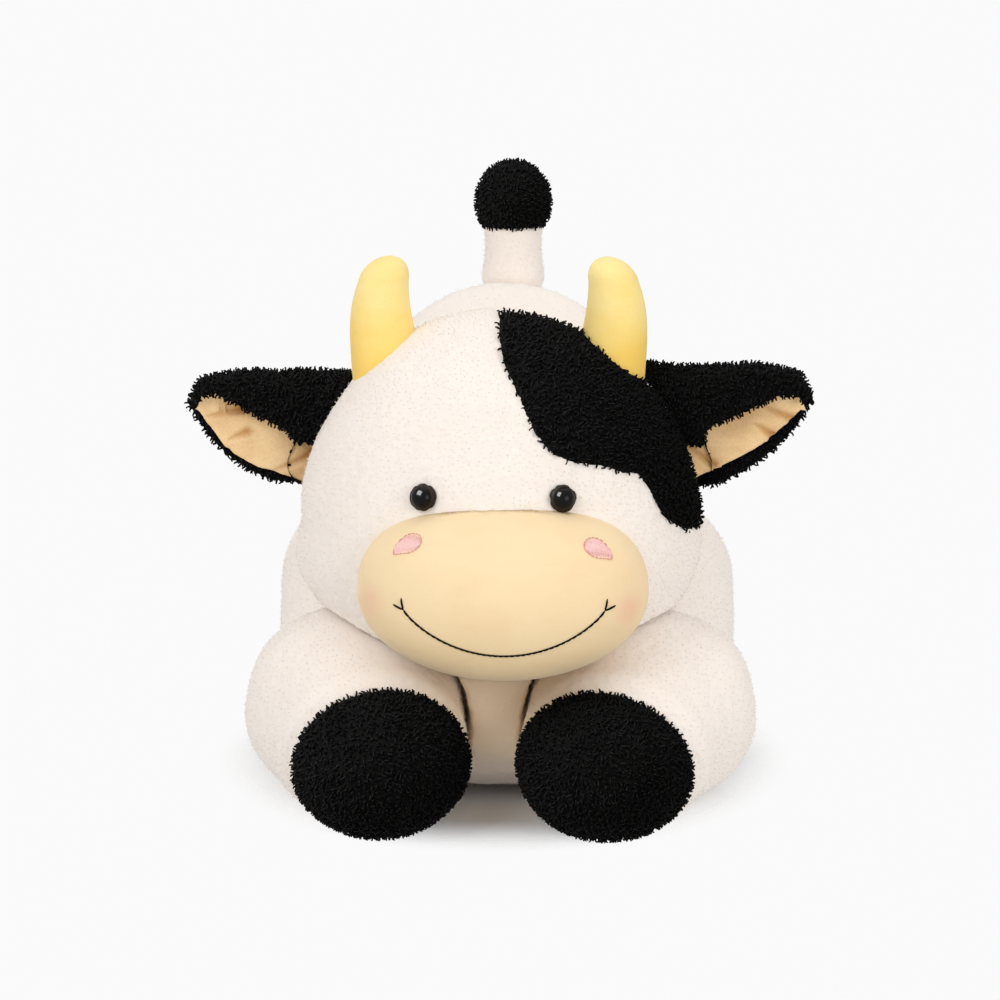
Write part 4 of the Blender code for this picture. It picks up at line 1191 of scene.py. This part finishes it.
def build():
    white = fleece("white_fleece")
    fuzz = fleece("white_fuzz", True)
    black = black_backing("black_backing")
    tufts = looped_black("black_tufts")

    # Skins
    body = cast("body", ("body_cover", "body_filling"), 0.0022)
    head = cast("head", ("head_cover", "face_patch", "head_filling"), 0.0017)
    patch = cast("face_patch_cloth", ("face_patch",), 0.0014)
    put_points(head.data, on_head(points_of(head.data), 0.0012))
    put_points(patch.data, on_head(points_of(patch.data), 0.0012))
    shape_cheek(head)
    chest = ramp(-points_of(body.data)[:, 1], 0.020, 0.045)
    relax(body, 18, 1 - 0.85 * chest)
    relax(head, 8)
    relax(patch, 4)
    lump(body, 0.060, 0.0022, 1)
    lump(head, 0.050, 0.0014, 2)
    draw_in(body, 0.0002)
    draw_in(head, 0.0006)
    nub(body, 0.0060, 0.0010)
    nub(head, 0.0048, 0.0010)
    legs = {}
    for key in LEGS:
        legs[key] = leg_skins(*key)
        lump(legs[key][0], 0.045, 0.0014, 3 + len(legs))
        lump(legs[key][1], 0.045, 0.0010, 3 + len(legs))
        if key[0] == "front":
            fill_shoulder(legs[key][0], dict(SIDES)[key[1]])
        nub(recast(legs[key][0], 0.0018), 0.0048, 0.0010)
    tail, tuft = tail_skins()
    nub(recast(tail, 0.0013), 0.0042, 0.0007)
    graph = bpy.context.evaluated_depsgraph_get()
    bpy.context.view_layer.update()
    head_tree = BVHTree.FromObject(head, graph)
    muzzle = muzzle_skin(head_tree)
    gaps = np.array([(Vector(point) - head_tree.find_nearest(Vector(point))[0]).length
                     for point in points_of(muzzle.data)])
    across = np.abs(points_of(muzzle.data)[:, 0] - MUZZLE_MIDDLE.x)
    # Where the muzzle lies close to the head: the mask for its painted seam shadow.
    seam_shadow = (1 - ramp(gaps, 0.0008, 0.0030)) * (1 - ramp(across, 0.030, 0.045))
    keep_value(muzzle.data, "seam", seam_shadow)
    horns = {label: horn_skin(label, side) for label, side in SIDES}
    ears, linings = {}, {}
    for label, side in SIDES:
        ears[label] = cast(f"ear_{label}", (f"ear_outer_{label}",), 0.0013)
        relax(ears[label], 5)
        settle_ear(ears[label], side, False)
        linings[label] = cast(f"ear_lining_cloth_{label}", (f"ear_lining_{label}",), 0.0009)
        relax(linings[label], 6)
        settle_ear(linings[label], side, True)
        from_seam = np.abs(from_root(points_of(linings[label].data), side) - LINING_SEAM_OUT)
        relax(linings[label], 30, 1 - ramp(from_seam, 0.006, 0.014))
        wrinkle_lining(linings[label], side)

    # Where the pile grows
    bpy.context.view_layer.update()
    covers = [legs[key][0] for key in legs]
    hooves = [legs[key][1] for key in legs]
    bare_where(body, covers + hooves + [head, tail], 0.0022)
    bare_where(head, [patch, muzzle, body] + list(horns.values()) + list(ears.values()) + covers, 0.0010)

    def outwards(points, normals):
        return (((points - np.array(HEAD_MIDDLE)) * normals).sum(axis=1) > 0.02).astype(float)

    bare_where(patch, list(ears.values()) + list(horns.values()), 0.0008, outwards)
    for pair, label in legs:
        leg = LEGS[pair, label]
        cover, hoof = legs[pair, label]
        axis = np.array(leg.axis.normalized())

        def before_seam(points, normals, leg=leg, axis=axis):
            return ((points - np.array(leg.root)) @ axis < leg.seam).astype(float)

        def outside(points, normals, leg=leg, axis=axis):
            away = points - np.array(leg.root)
            along = np.clip(away @ axis, 0, leg.length)
            away = away - along[:, None] * axis
            return ((away * normals).sum(axis=1) > 0.010).astype(float)

        bare_where(cover, [body], 0.0015, before_seam)
        bare_where(hoof, [body], 0.0010, outside)
    bare_where(tail, [body], 0.0010, lambda points, normals: (points[:, 2] < 0.2925).astype(float))
    bare_where(tuft, [], 0.0010, lambda points, normals: (
        ((points - np.array((TAIL_ASIDE, 0.127, 0.308))) * normals).sum(axis=1) > 0.008).astype(float))
    for label, side in SIDES:
        def beside_lining(points, normals, side=side):
            near_root = (from_root(points, side) < 0.020) & (points[:, 2] < 0.196)
            return 1.0 - (near_root & (points[:, 1] < EAR_DEPTH + 0.004))

        bare_where(ears[label], [head, linings[label]], 0.0008, beside_lining)

    # Pile
    for piece, cloth in ([(body, white), (head, white), (tail, white)] + [(p, white) for p in covers]
                         + [(patch, black), (tuft, black)] + [(p, black) for p in hooves]
                         + [(p, black) for p in ears.values()]):
        piece.data.materials.clear()
        piece.data.materials.append(cloth)
    grow_pile(head, WHITE_FUZZ, fuzz, 1)
    grow_pile(body, WHITE_FUZZ, fuzz, 2, Spacing=0.0036)
    grow_pile(tail, WHITE_FUZZ, fuzz, 3)
    for seed, cover in enumerate(covers):
        grow_pile(cover, WHITE_FUZZ, fuzz, 10 + seed, Spacing=0.0026)
    grow_pile(patch, BLACK_TUFTS, tufts, 20)
    grow_pile(tuft, BLACK_TUFTS, tufts, 21)
    for seed, hoof in enumerate(hooves):
        grow_pile(hoof, BLACK_TUFTS, tufts, 30 + seed)
    for seed, ear in enumerate(ears.values()):
        grow_pile(ear, BLACK_TUFTS, tufts, 40 + seed)

    for piece in [body, *covers, *hooves]:
        points = points_of(piece.data)
        points[:, 2] = np.maximum(points[:, 2], 0)
        put_points(piece.data, points)

    # Smooth cloths
    muzzle.data.materials.append(muzzle_cloth())
    horn_finish = horn_cloth()
    lining_finish = lining_cloth()
    for label, side in SIDES:
        horns[label].data.materials.append(horn_finish)
        linings[label].data.materials.append(lining_finish)
    muzzle_tree = BVHTree.FromObject(muzzle, bpy.context.evaluated_depsgraph_get())
    stitching = face_stitching(muzzle_tree)
    eyes = eye_pieces(eye_plastic())

    # What rides on what
    dressed(body, "body", "white_pile", ("body_cover", "body_filling"), 0.9)
    dressed(head, "head", "white_pile", ("head_cover", "head_filling"), 0.9)
    dressed(patch, "head", "black_pile", ("face_patch",))
    dressed(muzzle, "head", "muzzle", ("muzzle_cover", "muzzle_filling"), 0.9)
    for piece in stitching:
        dressed(piece, "head", "black_pile" if piece.name == "smile" else "muzzle", ())
    for label, piece in eyes:
        dressed(piece, "head", "eye", (f"eye_{label}", f"eye_washer_{label}"))
    for label, side in SIDES:
        dressed(horns[label], "head", "horn", (f"horn_cover_{label}", f"horn_filling_{label}"), 0.9)
        dressed(ears[label], f"ear_{label}", "black_pile", (f"ear_outer_{label}",), 0.4)
        dressed(linings[label], f"ear_{label}", "ear_lining", (f"ear_lining_{label}",))
    for pair, label in legs:
        cover, hoof = legs[pair, label]
        rider = f"{pair}_leg_{label}"
        dressed(cover, rider, "white_pile", (f"{pair}_leg_cover_{label}", f"{pair}_leg_filling_{label}"), 0.9)
        dressed(hoof, rider, "black_pile", (f"{pair}_hoof_{label}",), 0.9)
    dressed(tail, "tail", "white_pile", ("tail_cover", "tail_filling"), 0.9)
    dressed(tuft, "tail", "black_pile", ("tail_tuft",), 0.9)

    build_stage()


build()
